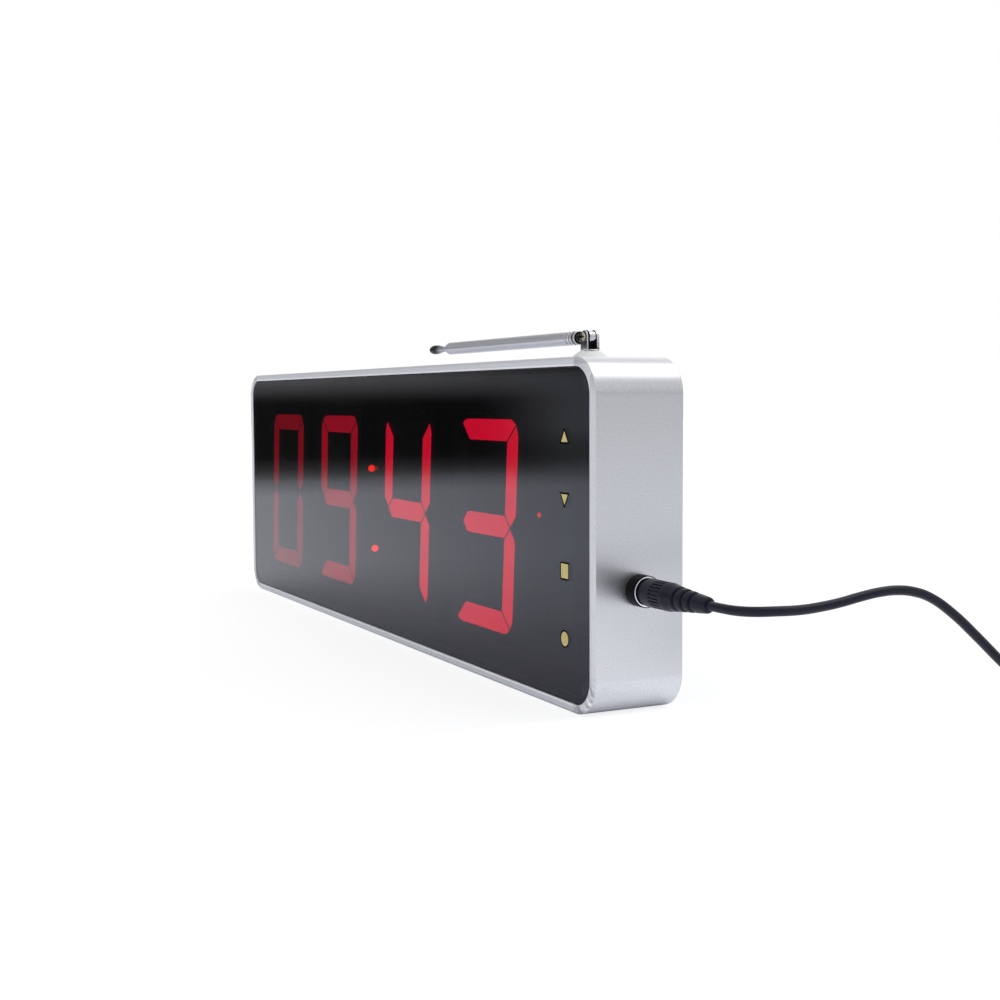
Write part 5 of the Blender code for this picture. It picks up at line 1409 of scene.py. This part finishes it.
    def make_tie(self):
        """The woven strap round all the turns of the coil, with its free end pressed on top."""
        _, high, centre, (half, half_y, half_z) = extent("cord_tie")
        thick, soft = 0.6 * MM, 0.15 * MM
        sides = [(0.0, soft - half), (-soft, -half), (soft - thick, -half), (-thick, soft - half)]
        sides += [(shift, -x) for shift, x in reversed(sides)]
        loops = []
        for shift, x in sides:
            outline = rounded_rectangle(half_y + shift, half_z + shift, 1.45 * MM + shift, 6)
            loops.append([centre + Vector((x, u, v)) for u, v in outline])
        tab = block(
            (centre.x - half, centre.y - half_y * 0.55, high.z - 0.05 * MM),
            (centre.x + half, centre.y + half_y * 0.7, high.z + thick),
            0.2 * MM,
        )
        strap = shaded(joined([finished(stacked(loops, closed=True)), tab]))
        return set_piece("coil_strap", strap, woven_strap(), ["cord_tie"])

    def make_far_plug(self, pvc):
        """The far plug: a moulded body with its strain relief, a folded metal shell and a white tongue."""
        low, high, centre, _ = extent("far_plug_body")
        loops = []
        for along, half_x, half_z, radius in self.FAR_SECTIONS:
            outline = rounded_rectangle(half_x * MM, half_z * MM, radius * MM, 6)
            y = high.y - (high.y - low.y) * along / self.FAR_LENGTH
            loops.append([Vector((centre.x + x, y, centre.z + z)) for x, z in outline])
        body = shaded(finished(stacked(loops)), 40)
        grip = set_piece("far_plug_grip", body, pvc, ["far_plug_body"])
        shell = self.make_shell()
        dress(plain("moulded white nylon"), "far_plug_tongue")
        return [grip, shell, frame["nodes"]["far_plug_tongue"]]

    def make_shell(self):
        """The folded sheet shell with its two latch windows on each broad side."""
        low, high, centre, (half_w, _, half_h) = extent("far_plug_shell")
        wall, lip, half = 0.4 * MM, 0.1 * MM, 1.2 * MM
        outer = rounded_rectangle(half_w, half_h, 0.6 * MM, 4)
        inner = rounded_rectangle(half_w - wall, half_h - wall, 0.25 * MM, 4)
        loops = []
        for outline, y in ((outer, high.y), (outer, low.y + lip), (inner, low.y), (inner, high.y)):
            loops.append([Vector((centre.x + x, y, centre.z + z)) for x, z in outline])
        windows = []
        size = Vector((half, half, MM))
        for x in (-2.5 * MM, 2.5 * MM):
            for z in (low.z, high.z):
                place = Vector((centre.x + x, low.y + 8 * MM, z))
                windows.append(block(place - size, place + size))
        mesh = shaded(cut(finished(stacked(loops, closed=True)), windows))
        steel = plain("zinc plated steel")
        return set_piece("far_plug_sleeve", mesh, steel, ["far_plug_shell"])


class LEDCLOCK_PT_looks(bpy.types.Panel):
    """Lists the clock's pieces and their settings"""

    bl_idname = "LEDCLOCK_PT_looks"
    bl_label = "LED clock"
    bl_space_type = "VIEW_3D"
    bl_region_type = "UI"
    bl_category = "LED clock"

    def draw(self, context):
        for name, group in SETTINGS.items():
            box = self.layout.box()
            box.label(text=group.__name__.replace("Settings", ""))
            for field in group.__annotations__:
                box.prop(getattr(context.scene, name), field)
        for operator in OPERATORS:
            self.layout.operator(operator.bl_idname)


SETTINGS = {
    "clock_stage": StageSettings,
    "clock_case": CaseSettings,
    "clock_display": DisplaySettings,
    "clock_aerial": AerialSettings,
    "clock_lead": LeadSettings,
}
OPERATORS = (
    LEDCLOCK_OT_stage,
    LEDCLOCK_OT_lead,
    LEDCLOCK_OT_case,
    LEDCLOCK_OT_panel,
    LEDCLOCK_OT_rear,
    LEDCLOCK_OT_digits,
    LEDCLOCK_OT_lamps,
    LEDCLOCK_OT_electronics,
    LEDCLOCK_OT_aerial,
    LEDCLOCK_OT_inlet,
)


def register():
    for group in (*SETTINGS.values(), *OPERATORS, LEDCLOCK_PT_looks):
        bpy.utils.register_class(group)
    for name, group in SETTINGS.items():
        setattr(bpy.types.Scene, name, PointerProperty(type=group))


def unregister():
    for name in SETTINGS:
        delattr(bpy.types.Scene, name)
    for group in (LEDCLOCK_PT_looks, *OPERATORS, *SETTINGS.values()):
        bpy.utils.unregister_class(group)


def main():
    for old in [o for o in bpy.data.objects if o.name in ("Cube", "Light", "Camera")]:
        bpy.data.objects.remove(old)
    register()
    bpy.ops.ledclock.stage()
    bpy.ops.ledclock.lead()
    bpy.ops.ledclock.case()
    bpy.ops.ledclock.front_panel()
    bpy.ops.ledclock.rear_cover()
    bpy.ops.ledclock.digits()
    bpy.ops.ledclock.lamps()
    bpy.ops.ledclock.electronics()
    bpy.ops.ledclock.aerial()
    bpy.ops.ledclock.inlet()


if __name__ == "__main__":
    main()
